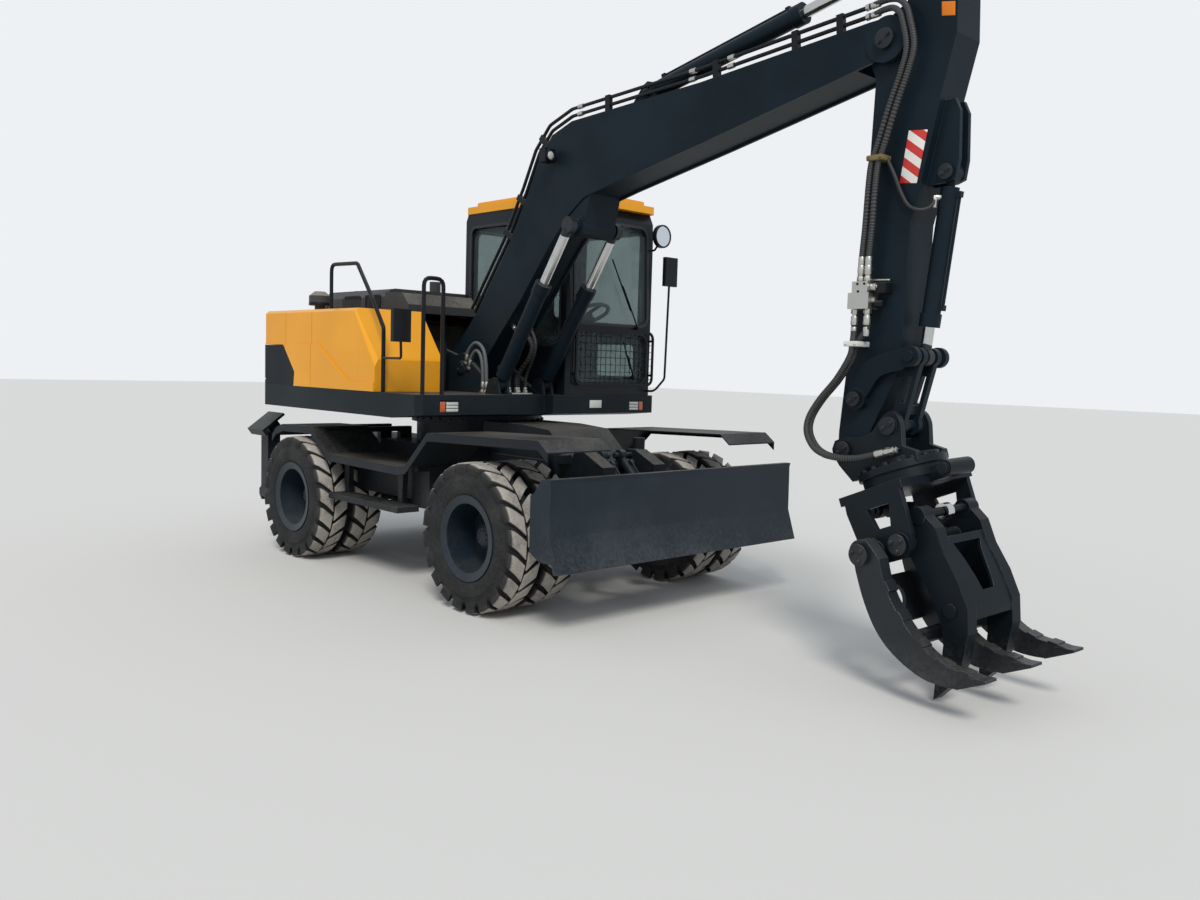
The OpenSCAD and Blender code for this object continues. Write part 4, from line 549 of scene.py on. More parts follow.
class Finish(Enum):
    """Every finish on the machine."""
    SLATE = Paint("slate_paint", (0.008, 0.012, 0.017))
    DECK = Paint("deck_paint", (0.009, 0.014, 0.018), shine=0.12, coat=0.01, dust=0.2, low_dust=0.05)
    UNDER = Paint("under_paint", (0.007, 0.011, 0.015), rough=0.48, low_dust=0.10)
    BLADE = Paint("blade_paint", (0.012, 0.021, 0.030), wear=0.3, dust_top=0.9, scratches=0.3)
    GRAB = Paint("grab_paint", (0.006, 0.010, 0.014), rough=0.38, shine=0.15, coat=0.02, wear=0.4, dust=0.1,
                 low_dust=0.10, dust_top=0.5, scratches=0.4)
    TINE = Paint("tine_paint", (0.014, 0.017, 0.021), rough=0.36, shine=0.3, wear=0.6, dust=0.15,
                 low_dust=0.08, dust_top=0.4, scratches=0.5)
    BOOM = Paint("boom_paint", (0.006, 0.013, 0.019), rough=0.40, shine=0.1, coat=0.01, dust=0.12)
    YELLOW = Paint("orange_yellow_paint", (0.757, 0.324, 0.012), rough=0.34, shine=0.25, coat=0.08, wear=0.04,
                   dust=0.08, low_dust=0.0, scratches=0.04, vary=0.05)
    HOOD = Paint("hood_paint", (0.046, 0.048, 0.050), rough=0.5, dust=0.9)
    CAB = Paint("cab_paint", (0.006, 0.009, 0.013), rough=0.36, coat=0.06, wear=0.1)
    RIM = Paint("rim_paint", (0.011, 0.020, 0.030), rough=0.40, shine=0.3, dust=0.1, low_dust=0.04,
                dust_top=1.0)
    TUBE = Paint("black_tube_paint", (0.005, 0.006, 0.008), rough=0.38, round_edge=0.002)
    WEIGHT = Paint("weight_paint", (0.009, 0.013, 0.017), rough=0.5, shine=0.12, coat=0.01, wear=0.08,
                   low_dust=0.04)
    CAST = Paint("plain_casting", (0.06, 0.06, 0.058), rough=0.6)
    BOLT = Paint("bolt_black", (0.016, 0.019, 0.023), rough=0.4, wear=0.4, round_edge=0.0015)
    CHROME = Polished("rod_chrome", (0.66, 0.66, 0.65), 0.10)
    LIFT_ROD = Polished("lift_rod_chrome", (0.62, 0.62, 0.61), 0.12, (1560, 2755))
    ARM_ROD = Polished("arm_rod_chrome", (0.62, 0.62, 0.61), 0.12, (4330, 4095))
    TIP_ROD = Polished("tip_rod_chrome", (0.62, 0.62, 0.61), 0.12, (4310, 1840), 0.074)
    ZINC = Polished("zinc_fittings", (0.55, 0.54, 0.50), 0.32)
    RUBBER = Rubber("gasket_rubber")
    BLACK_HOSE = Rubber("plain_hose")
    SLEEVE = Rubber("grey_sleeve", (0.075, 0.080, 0.086))
    KHAKI = Paint("clamp_plastic", (0.20, 0.15, 0.065), wear=0.0, low_dust=0.0)
    WHEEL = Paint("pale_wheel_rim", (0.30, 0.31, 0.31), wear=0.0, low_dust=0.0)
    HOSE = Rubber("wrapped_hose", ridges=660.0, pale=0.09)
    SHORT_HOSE = Rubber("wrapped_short_hose", ridges=190.0, pale=0.09)
    GLASS = Glass()
    AMBER = Lens("turn_lens", (0.72, 0.12, 0.015))
    CLEAR = Lens("clear_lens", (0.75, 0.76, 0.74))
    MIRROR = Polished("mirror_face", (0.75, 0.78, 0.80), 0.03)
    SEAT = Cloth("seat_cloth", (0.045, 0.047, 0.052))
    COVER = Cloth("pale_seat_cover", (0.55, 0.56, 0.58), 500.0)
    PLATE = Paint("bare_plate", (0.62, 0.62, 0.60), rough=0.35, wear=0.1, dust=0.1, low_dust=0.1)
    ORANGE = Paint("orange_plate", (0.75, 0.20, 0.015), rough=0.35, wear=0.1, dust=0.1)
    STRIPE = Stripes()
    TYRE = Tread()

    @cached_property
    def material(self) -> bpy.types.Material:
        """The finish's material, made when it is first asked for."""
        return self.value.build()


class Form:
    """A mesh in the making, put together from operators' shapes and finished as one piece."""

    def __init__(self, name: str) -> None:
        """Starts an empty mesh."""
        self.name = name
        self.bm = bmesh.new()

    def round_off(self, edges: Iterable[bmesh.types.BMEdge], width: float, segments: int = 2) -> None:
        """Bevels some edges in so many steps."""
        bmesh.ops.bevel(self.bm, geom=list(edges), offset=width, offset_type="OFFSET", affect="EDGES",
                        segments=segments, profile=0.5, material=-1, clamp_overlap=True)

    def block(self, low: Sequence[float], high: Sequence[float], bevel: float = 0.0,
              segments: int = 2) -> None:
        """Adds a box with eased edges.

        Args:
            low: its lowest corner.
            high: its highest corner.
            bevel: width of its edges' rounding.
            segments: how many steps round an edge.
        """
        low, high = Vector(low), Vector(high)
        place = Matrix.Translation((high + low) / 2) @ Matrix.Diagonal((*(high - low), 1))
        verts = bmesh.ops.create_cube(self.bm, size=1, matrix=place)["verts"]
        if bevel:
            self.round_off({e for v in verts for e in v.link_edges}, bevel, segments)

    def rod(self, start: Sequence[float], end: Sequence[float], radius: float, sides: int = 20,
            tip: float | None = None, bevel: float = 0.0) -> None:
        """Adds a round or many-sided bar.

        Args:
            start: the middle of its first end.
            end: the middle of its other end.
            radius: its radius, over the corners.
            sides: how many sides.
            tip: the other end's radius, where it tapers.
            bevel: width of its rims' rounding.
        """
        start, end = Vector(start), Vector(end)
        along = end - start
        place = Matrix.Translation((start + end) / 2) @ along.to_track_quat("Z", "Y").to_matrix().to_4x4()
        tip = radius if tip is None else tip
        verts = bmesh.ops.create_cone(self.bm, cap_ends=True, segments=sides, radius1=radius, radius2=tip,
                                      depth=along.length, matrix=place)["verts"]
        if bevel:
            rims = {e for v in verts for e in v.link_edges if any(len(f.verts) > 4 for f in e.link_faces)}
            self.round_off(rims, bevel, 2)

    def lathe(self, profile: Sequence[Spot], middle: Vector, axis: Vector, steps: int = 48,
              closed: bool = False) -> None:
        """Spins a profile.

        Args:
            profile: points as (radius, place along the axis).
            middle: a point on the axis.
            axis: the axis's direction.
            steps: how many steps round the axis.
            closed: joins the profile's last point to its first.
        """
        axis = axis.normalized()
        side = axis.orthogonal().normalized()
        round_form = Form("round")
        bm = round_form.bm
        verts = [bm.verts.new(middle + side * r + axis * a) for r, a in profile]
        edges = [bm.edges.new(pair) for pair in zip(verts, verts[1:])]
        if closed:
            edges.append(bm.edges.new((verts[-1], verts[0])))
        bmesh.ops.spin(bm, geom=verts + edges, cent=middle, axis=axis, angle=math.tau, steps=steps,
                       use_merge=True)
        bmesh.ops.remove_doubles(bm, verts=bm.verts, dist=1e-6)
        round_form.face_out()
        self.join(round_form, [Matrix.Identity(4)])

    def face_out(self) -> None:
        """Turns one shape's faces outward."""
        bmesh.ops.recalc_face_normals(self.bm, faces=self.bm.faces)
        closed = all(e.is_manifold for e in self.bm.edges)
        if closed and self.bm.calc_volume(signed=True) < 0:
            bmesh.ops.reverse_faces(self.bm, faces=self.bm.faces)

    def join(self, other: "Form", places: Iterable[Matrix]) -> None:
        """Adds another shape, and ends it.

        Args:
            other: the shape.
            places: where each of its copies goes.
        """
        mesh = bpy.data.meshes.new("shape")
        other.bm.to_mesh(mesh)
        other.bm.free()
        for place in places:
            placed = mesh.copy()
            placed.transform(place)
            self.bm.from_mesh(placed)
            bpy.data.meshes.remove(placed)
        bpy.data.meshes.remove(mesh)

    def copies(self, other: "Form", count: int, middle: Vector, axis: Vector, first: float = 0.0) -> None:
        """Adds another shape several times round an axis.

        Args:
            other: the shape, where its first copy goes.
            count: how many.
            middle: a point on the axis.
            axis: the axis's direction.
            first: the first copy's turn.
        """
        move = Matrix.Translation(middle)
        back = move.inverted()
        turns = (Matrix.Rotation(first + math.tau * i / count, 4, axis) for i in range(count))
        self.join(other, (move @ turn @ back for turn in turns))

    def bolt(self, foot: Vector, way: Vector, size: float = 0.024) -> None:
        """Adds a hexagon bolt's head on a washer.

        Args:
            foot: where it stands.
            way: which way it points.
            size: width of the head.
        """
        way = way.normalized() * size
        washer = foot + way * 0.16
        self.rod(foot, washer, size * 0.72, 16)
        self.rod(washer, foot + way * 0.72, size * 0.57, 6, tip=size * 0.54)

    def pin_plate(self, end: Vector, way: Vector, radius: float, bolts: Iterable[Vector]) -> None:
        """Adds the round plate on a pin's end.

        Args:
            end: the middle of the pin's end.
            way: which way the pin points there.
            radius: the plate's radius.
            bolts: the bolts' places on it, as shares of the radius.
        """
        face = end + way * 0.008
        self.rod(end - way * 0.004, face, radius, 28, bevel=0.002)
        for spot in bolts:
            self.bolt(face + spot * radius, way, 0.020)

    def ferrule(self, start: Vector, way: Vector, radius: float = 0.019) -> None:
        """Adds a hose's end fitting: a hexagon nut, a neck and a crimped sleeve.

        Args:
            start: its seat.
            way: which way it stands off its seat.
            radius: the sleeve's radius, a little less.
        """
        way = way.normalized()
        self.rod(start, start + way * 0.022, radius * 1.2, 6, bevel=0.001)
        self.rod(start + way * 0.020, start + way * 0.036, radius * 0.8, 16)
        self.rod(start + way * 0.034, start + way * 0.086, radius * 1.08, 20, bevel=0.003)

    def slab(self, outline: Sequence[Vector], thick: Vector, bevel: float = 0.0) -> None:
        """Adds a flat plate with eased edges.

        Args:
            outline: its corners.
            thick: how far and which way it is drawn out from them.
            bevel: width of its edges' rounding.
        """
        verts = [self.bm.verts.new(p) for p in outline]
        face = self.bm.faces.new(verts)
        drawn = bmesh.ops.extrude_face_region(self.bm, geom=[face])["geom"]
        moved = [g for g in drawn if isinstance(g, bmesh.types.BMVert)]
        bmesh.ops.translate(self.bm, verts=moved, vec=Vector(thick))
        bmesh.ops.recalc_face_normals(self.bm, faces=list({f for v in verts + moved for f in v.link_faces}))
        if bevel:
            self.round_off({e for v in verts + moved for e in v.link_edges}, bevel)

    def frame(self, middle: Vector, across: Vector, up: Vector, width: float, height: float, corner: float,
              rim: float, deep: float) -> None:
        """Adds a flat frame with round corners.

        Args:
            middle: its middle.
            across: its direction across.
            up: its direction up.
            width: its width outside.
            height: its height outside.
            corner: its corners' radius outside.
            rim: the width of its bars.
            deep: its thickness.
        """
        across, up = across.normalized(), up.normalized()
        turn = Matrix((across, up, across.cross(up))).transposed().to_4x4()
        flat = Form("frame")
        bm = flat.bm
        verts = bmesh.ops.create_grid(bm, x_segments=1, y_segments=1, size=0.5)["verts"]
        bmesh.ops.scale(bm, verts=verts, vec=(width, height, 1))
        bmesh.ops.bevel(bm, geom=verts, offset=corner, offset_type="OFFSET", affect="VERTICES", segments=6,
                        profile=0.5, material=-1)
        inner = list(bm.faces)
        ring = bmesh.ops.inset_region(bm, faces=inner, thickness=rim, use_boundary=True, use_even_offset=True)
        bmesh.ops.delete(bm, geom=inner, context="FACES")
        drawn = bmesh.ops.extrude_face_region(bm, geom=ring["faces"])["geom"]
        lid = [g for g in drawn if isinstance(g, bmesh.types.BMVert)]
        bmesh.ops.translate(bm, verts=lid, vec=(0, 0, deep))
        bmesh.ops.recalc_face_normals(bm, faces=bm.faces)
        self.join(flat, [Matrix.Translation(middle) @ turn @ Matrix.Translation((0, 0, -deep / 2))])

    def piece(self, body: str, finish: Finish, slot: str = "", smooth: float = 35.0) -> bpy.types.Object:
        """Ends the mesh.

        Args:
            body: the body that the piece rides on.
            finish: its finish.
            slot: not used.
            smooth: edges sharper than this many degrees stay sharp.

        Returns:
            The piece.
        """
        mesh = bpy.data.meshes.new(self.name)
        for f in self.bm.faces:
            f.smooth = True
        for e in self.bm.edges:
            e.smooth = len(e.link_faces) == 2 and e.calc_face_angle(0.0) < math.radians(smooth)
        self.bm.to_mesh(mesh)
        self.bm.free()
        mesh.materials.append(finish.material)
        made = bpy.data.objects.new(self.name, mesh)
        bpy.context.scene.collection.objects.link(made)
        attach(made, body)
        log.info("%s: %d faces on %s", self.name, len(mesh.polygons), body)
        return made


def smooth(points: Sequence[Sequence[float]], steps: int = 8) -> list[Vector]:
    """A smooth line through points given in millimetres from the slewing axis.

    Args:
        points: the points that it goes through.
        steps: how many steps between two of them.

    Returns:
        The line's points in the frame.
    """
    ends = [Vector(p) for p in points]
    ends = [ends[0] * 2 - ends[1], *ends, ends[-1] * 2 - ends[-2]]
    line: list[Vector] = []
    for a, b, c, d in zip(ends, ends[1:], ends[2:], ends[3:]):
        for k in range(steps):
            t = k / steps
            bend = (a * 2 - b * 5 + c * 4 - d) * t * t + (b * 3 - a - c * 3 + d) * t ** 3
            line.append(((b * 2) + (c - a) * t + bend) / 2)
    return [at(*p) for p in [*line, ends[-2]]]


@dataclass
class Hose:
    """One free hose along a line."""
    name: str
    line: list[Vector]
    finish: Finish
    width: float = 0.034
    lay: str = "taut"

    def curve(self) -> bpy.types.Object:
        """Makes the hose as a curve of one open spline.

        Returns:
            The curve's object.
        """
        curve = bpy.data.curves.new(self.name, "CURVE")
        curve.dimensions = "3D"
        curve.bevel_depth = self.width / 2
        curve.bevel_resolution = 3
        spline = curve.splines.new("POLY")
        spline.points.add(len(self.line) - 1)
        for point, place in zip(spline.points, self.line):
            point.co = (*place, 1)
        curve.materials.append(self.finish.material)
        made = bpy.data.objects.new(self.name, curve)
        bpy.context.scene.collection.objects.link(made)
        return made

    def ride(self, body: str, stands_for: str = "") -> None:
        """Fixes the hose to one body.

        Args:
            body: the body.
            stands_for: the solid that it replaces.
        """
        made = self.curve()
        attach(made, body)
        if stands_for:
            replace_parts(made, stands_for)

    def bridge(self) -> None:
        """Makes the hose a mesh that runs from one body to the next, fixed where it is made.
        """
        curve = self.curve()
        mesh = bpy.data.meshes.new_from_object(curve)
        mesh.name = self.name
        bpy.data.objects.remove(curve)
        for face in mesh.polygons:
            face.use_smooth = True
        made = bpy.data.objects.new(self.name, mesh)
        bpy.context.scene.collection.objects.link(made)
        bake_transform(made)


@dataclass
class Wheels:
    """One set of twin wheels: the tyres' walls and lugs, and the wheel nuts. Its sizes are in metres."""
    corner: str
    tyre_width: float = 0.272
    lugs: int = 20
    lug_depth: float = 0.034
    lug_foot: float = 0.84
    lug_top: float = 0.74
    sweep: float = 0.62
    shoulder: float = 0.74
    nuts: int = 10
    nut_ring: float = 0.168
    nut_height: float = 0.020
    dish: float = 0.957
    hub_face: float = 1.0915
    hub_ring: float = 0.046
    wall: tuple[Spot, ...] = (
        (0.2545, 0.091), (0.275, 0.102), (0.297, 0.114), (0.303, 0.116), (0.312, 0.122), (0.330, 0.130),
        (0.350, 0.134), (0.380, 0.1355), (0.405, 0.1345), (0.409, 0.1305), (0.437, 0.124), (0.471, 0.114),
        (0.489, 0.088), (0.493, 0.056))

    def __post_init__(self) -> None:
        """Takes the wheels' radius and places from their solid."""
        low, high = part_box(f"tyres_{self.corner}")
        self.radius = (high.z - low.z) / 2
        self.side = 1 if high.y > 0 else -1
        self.middle = Vector(((low.x + high.x) / 2, 0, (low.z + high.z) / 2))
        near, face = sorted((abs(low.y), abs(high.y)))
        self.places = (face - self.tyre_width / 2, near + self.tyre_width / 2)

    def build(self) -> None:
        """Makes the tyres and the nuts."""
        tyres = Form(f"twin_tyres_{self.corner}")
        for place in self.places:
            self.tyre(tyres, self.middle + LEFT * place * self.side)
        made = tyres.piece(f"wheels_{self.corner}", Finish.TYRE, "tyre", 40)
        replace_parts(made, f"tyres_{self.corner}")
        self.studs()

    def tyre(self, form: Form, middle: Vector) -> None:
        """Adds one tyre.

        Args:
            form: the mesh that it joins.
            middle: its middle.
        """
        profile = [*self.wall, *((radius, -half) for radius, half in reversed(self.wall))]
        form.lathe(profile, middle, LEFT, 64, closed=True)
        for side in SIDES:
            first = math.tau / self.lugs * (0.5 if side < 0 else 0.0)
            form.copies(self.lug(middle, side), self.lugs, middle, LEFT, first)

    def lug(self, middle: Vector, side: int) -> Form:
        """Shapes one lug: a bar from the middle of the tread, swept back and down over the shoulder.

        Args:
            middle: the tyre's middle.
            side: which side of the tread it runs to.

        Returns:
            The lug.
        """
        pitch = math.tau / self.lugs
        form = Form("lug")
        bm = form.bm
        bmesh.ops.create_cube(bm, size=1)
        along = [e for e in bm.edges if abs(e.verts[0].co.x - e.verts[1].co.x) > 0.5]
        bmesh.ops.subdivide_edges(bm, edges=along, cuts=5)
        for v in bm.verts:
            share, across, top = v.co.x + 0.5, v.co.y, v.co.z > 0
            over = max(0.0, (share - self.shoulder) / (1 - self.shoulder))
            thick = pitch * (self.lug_top if top else self.lug_foot) * (1 - 0.10 * share)
            angle = pitch * self.sweep * max(0.0, 1 - share) ** 1.15 + across * thick
            out = 0.008 + share * (self.tyre_width / 2 - 0.010)
            if over:
                out += 0.004 if top else -0.012
            drop = 0.003 * share + 0.016 * over ** 2 if top else self.lug_depth + 0.012 + 0.052 * over
            spoke = FORWARD * math.cos(angle) - UP * math.sin(angle)
            v.co = middle + spoke * (self.radius - drop) + LEFT * side * out
        bmesh.ops.recalc_face_normals(bm, faces=bm.faces)
        form.round_off({e for e in bm.edges if e.calc_face_angle(0.0) > 0.9}, 0.003, 1)
        form.face_out()
        return form

    def studs(self) -> None:
        """Wheel nuts on the dish, bolts round the hub, and the valve."""
        form = Form(f"wheel_nuts_{self.corner}")
        out = LEFT * self.side
        dish, hub = self.middle + out * self.dish, self.middle + out * self.hub_face
        for spot in circle(self.nuts, FORWARD, UP):
            foot = dish + spot * self.nut_ring
            head = foot + out * self.nut_height
            form.rod(foot, head, 0.017, 6, tip=0.016)
            form.rod(head, head + out * 0.014, 0.009, 12)
        for spot in circle(8, FORWARD, UP, math.tau / 16):
            form.bolt(hub + spot * self.hub_ring, out, 0.013)
        valve = dish + FORWARD * 0.215 + UP * 0.02
        form.rod(valve, valve + FORWARD * 0.007 + out * 0.06, 0.005, 8)
        form.piece(f"wheels_{self.corner}", Finish.BOLT, "rim_paint")


@dataclass(frozen=True)
class PinEnd:
    """A pin whose ends show, in millimetres: its place, its reach to either side and its plates' radius."""
    body: str
    x: float
    z: float
    reach: float
    radius: float


@dataclass
class Pins:
    """End plates of the pins, with their keeper bolts."""
    pins: tuple[PinEnd, ...] = (
        PinEnd("upper", 230, 1690, 214, 58), PinEnd("boom", 4070, 3570, 193, 56),
        PinEnd("boom", 2150, 3650, 68, 42), PinEnd("arm", 3985, 1593, 189, 42),
        PinEnd("arm", 4414, 2832, 78, 42),
        PinEnd("grab_head", 3930, 1297, 190, 50), PinEnd("grab_head", 4212, 1454, 191, 50))

    def build(self) -> None:
        """Makes the end plates, one piece for each body."""
        for body in sorted({pin.body for pin in self.pins}):
            form = Form(f"pin_plates_{body}")
            for pin in (p for p in self.pins if p.body == body):
                for side in SIDES:
                    end = at(pin.x, TOOL_Y + side * pin.reach, pin.z)
                    bolts = (spot * 0.55 for spot in circle(2, FORWARD, UP, 0.6))
                    form.pin_plate(end, LEFT * side, pin.radius / 1000, bolts)
            form.piece(body, Finish.BOLT, "slate_paint")


@dataclass
class Cab:
    """Gaskets, wipers, wire guard, door handle, seat, steering wheel and mirror, in millimetres."""
    front: float = 915.0
    back: float = -528.0
    right: float = 227.0
    left: float = 1225.0
    lean: float = math.atan2(38, 920)
    right_panes: tuple[Opening, ...] = ((-448, 130, 2190, 2955), (205, 810, 1900, 2955))
    left_pane: Opening = (-448, -140, 2190, 2955)
    door_panes: tuple[Opening, ...] = ((0, 765, 2030, 2920), (40, 725, 1640, 1950))
    rubber: float = 24.0
    rubber_depth: float = 14.0
    wheel_r: float = 190.0
    wheel_tube: float = 17.2
    wheel_tilt: float = math.radians(-25)

    def build(self) -> None:
        """Makes the cab's pieces."""
        self.gaskets()
        self.wipers()
        self.guard()
        self.lock()
        self.seat()
        self.steering_wheel()
        self.mirror()

    @property
    def middle(self) -> float:
        """The cab's middle, across."""
        return (self.right + self.left) / 2

    def gasket(self, form: Form, middle: Vector, up: Vector, size: Spot, corner: float,
               across: Vector = LEFT) -> None:
        """Adds a rubber frame that laps an opening's edge by half its own width.

        Args:
            form: the mesh that it joins.
            middle: the opening's middle.
            up: the opening's direction up.
            size: the opening's width and height.
            corner: the opening's corner radius.
            across: the opening's direction across.
        """
        sizes = (*(n + self.rubber for n in size), corner + self.rubber / 2, self.rubber, self.rubber_depth)
        form.frame(middle, across, up, *(n / 1000 for n in sizes))

    def window(self, form: Form, opening: Opening, y: float, corner: float) -> None:
        """Adds a gasket in a side wall.

        Args:
            form: the mesh that it joins.
            opening: where the opening starts and ends, along and up.
            y: the wall's place.
            corner: the opening's corner radius.
        """
        x0, x1, z0, z1 = opening
        self.gasket(form, at((x0 + x1) / 2, y, (z0 + z1) / 2), UP, (x1 - x0, z1 - z0), corner, FORWARD)

    def gaskets(self) -> None:
        """Rubber round every pane."""
        form = Form("window_gaskets")
        for opening in self.right_panes:
            self.window(form, opening, self.right, 70)
        self.window(form, self.left_pane, self.left, 70)
        wide = self.left - self.right
        up = UP * math.cos(self.lean) - FORWARD * math.sin(self.lean)
        self.gasket(form, at(self.front, self.middle, 2070) + up * 0.45, up, (wide - 140, 860), 90)
        self.gasket(form, at(self.front, self.middle, 1807), UP, (wide - 140, 435), 90)
        self.gasket(form, at(self.back, self.middle, 2617), UP, (wide - 190, 635), 90)
        form.piece("upper", Finish.RUBBER, "dark_paint", 60)
        door = Form("door_gaskets")
        for opening in self.door_panes:
            self.window(door, opening, self.left + 4, 60)
        door.piece("door", Finish.RUBBER, "dark_paint", 60)

    def wipers(self) -> None:
        """Two wipers on the windshield."""
        form = Form("wipers")
        for y, z, reach, tilt in ((1010, 2078, 0.640, 62), (980, 1640, 0.330, 70)):
            a = math.radians(tilt)
            foot = at(self.front + 24, y, z)
            tip = foot + Vector((-0.02, -math.cos(a), math.sin(a))) * reach
            blade = foot.lerp(tip, 0.25)
            form.rod(foot - FORWARD * 0.03, foot + FORWARD * 0.012, 0.016, 16, bevel=0.003)
            form.rod(foot, foot.lerp(tip, 0.62), 0.007, 8, tip=0.005)
            form.rod(blade - FORWARD * 0.012, tip - FORWARD * 0.014, 0.005, 6)
            form.rod(blade - FORWARD * 0.018, tip - FORWARD * 0.020, 0.0035, 6)
        form.piece("upper", Finish.TUBE, "black_steel")

    def guard(self) -> None:
        """Wire guard over the lower window: a bent tube, woven wires and four feet."""
        low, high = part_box("front_guard")
        x = high.x - 0.007
        form = Form("guard_wires")
        middle = Vector((x, (low.y + high.y) / 2, (low.z + high.z) / 2))
        wide, tall = high.y - low.y, high.z - low.z
        form.frame(middle, LEFT, UP, wide, tall, 0.07, 0.018, 0.016)
        wire, lap, columns, rows = 0.0026, 0.010, 16, 8
        for i in range(1, columns):
            y = low.y + wide * i / columns
            form.rod((x + 0.001, y, low.z + lap), (x + 0.001, y, high.z - lap), wire, 8)
        for i in range(1, rows):
            z = low.z + tall * i / rows
            form.rod((x - 0.003, low.y + lap, z), (x - 0.003, high.y - lap, z), wire, 8)
        for y in (low.y + lap, high.y - lap):
            for z in (low.z + 0.094, low.z + 0.394):
                form.block((low.x, y - 0.009, z - 0.008), (x, y + 0.009, z + 0.012), 0.002)
        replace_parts(form.piece("upper", Finish.TUBE, "black_steel"), "front_guard")

    def lock(self) -> None:
        """Door's handle with its recess plate and lock."""
        form = Form("door_handle")
        x, y, z = 790, self.left + 6, 2040
        form.block(at(x - 34, y - 4, z - 80), at(x + 34, y + 3, z + 80), 0.003)
        form.rod(at(x + 12, y + 28, z - 60), at(x + 12, y + 28, z + 60), 0.009, 12, bevel=0.003)
        for dz in (-55, 55):
            form.rod(at(x + 12, y, z + dz), at(x + 12, y + 30, z + dz), 0.008, 10)
        form.rod(at(x - 16, y, z + 40), at(x - 16, y + 8, z + 40), 0.011, 16, bevel=0.002)
        form.piece("door", Finish.TUBE, "dark_paint")

    def seat(self) -> None:
        """Cushions over the seat's shell, with a pale loose cover on the back."""
        y = self.middle
        self.cushion("seat_cushion", at(-205, y - 238, 1916), at(292, y + 238, 1978), 0.0, Finish.SEAT)
        self.cushion("seat_back_cushion", at(-222, y - 228, 1985), at(-160, y + 228, 2560), 0.13,
                     Finish.COVER)

    def cushion(self, name: str, low: Vector, high: Vector, lean: float, finish: Finish) -> None:
        """Makes one crowned cushion.

        Args:
            name: the piece's name.
            low: its lowest corner.
            high: its highest corner.
            lean: how far it leans back for its height.
            finish: its cloth.
        """
        form = Form(name)
        form.block(low, high, 0.022, segments=3)
        edges = [e for e in form.bm.edges if e.calc_length() > 0.1]
        bmesh.ops.subdivide_edges(form.bm, edges=edges, cuts=6, use_grid_fill=True)
        middle, size = (low + high) / 2, (high - low) / 2
        thin = min(range(3), key=lambda i: size[i])
        flat = [i for i in range(3) if i != thin]
        for v in form.bm.verts:
            d = v.co - middle
            crown = math.prod(math.cos(min(1, abs(d[i] / size[i])) * math.pi / 2) ** 0.5 for i in flat)
            if d[thin] > 0:
                v.co[thin] += 0.018 * crown - 0.004
            v.co.x -= (v.co.z - low.z) * lean
        form.piece("upper", finish, "seat_cloth", 60)

    def steering_wheel(self) -> None:
        """Pale rim on the steering wheel."""
        form = Form("steering_wheel_rim")
        radius, tube = self.wheel_r / 1000, self.wheel_tube / 1000
        ring = [(radius + tube * p.x, tube * p.y) for p in circle(12, FORWARD, LEFT)]
        axis = UP * math.cos(self.wheel_tilt) + FORWARD * math.sin(self.wheel_tilt)
        form.lathe(ring, at(595, self.middle, 2185), axis, 48, closed=True)
        form.piece("upper", Finish.WHEEL, "dark_paint", 80)

    def mirror(self) -> None:
        """The round mirror's face in its black ring."""
        middle = at(1024, self.left - 20, 2880)
        face, rim = Form("round_mirror_face"), Form("round_mirror_rim")
        face.lathe([(0.0, 0.004), (0.05, 0.003), (0.086, 0.0005), (0.086, -0.001)], middle, FORWARD, 40)
        ring = [(0.086, -0.002), (0.086, 0.004), (0.092, 0.007), (0.099, 0.004), (0.0995, -0.002)]
        rim.lathe(ring, middle, FORWARD, 40, closed=True)
        face.piece("upper", Finish.MIRROR, "lamp", 60)
        rim.piece("upper", Finish.TUBE, "black_steel", 60)


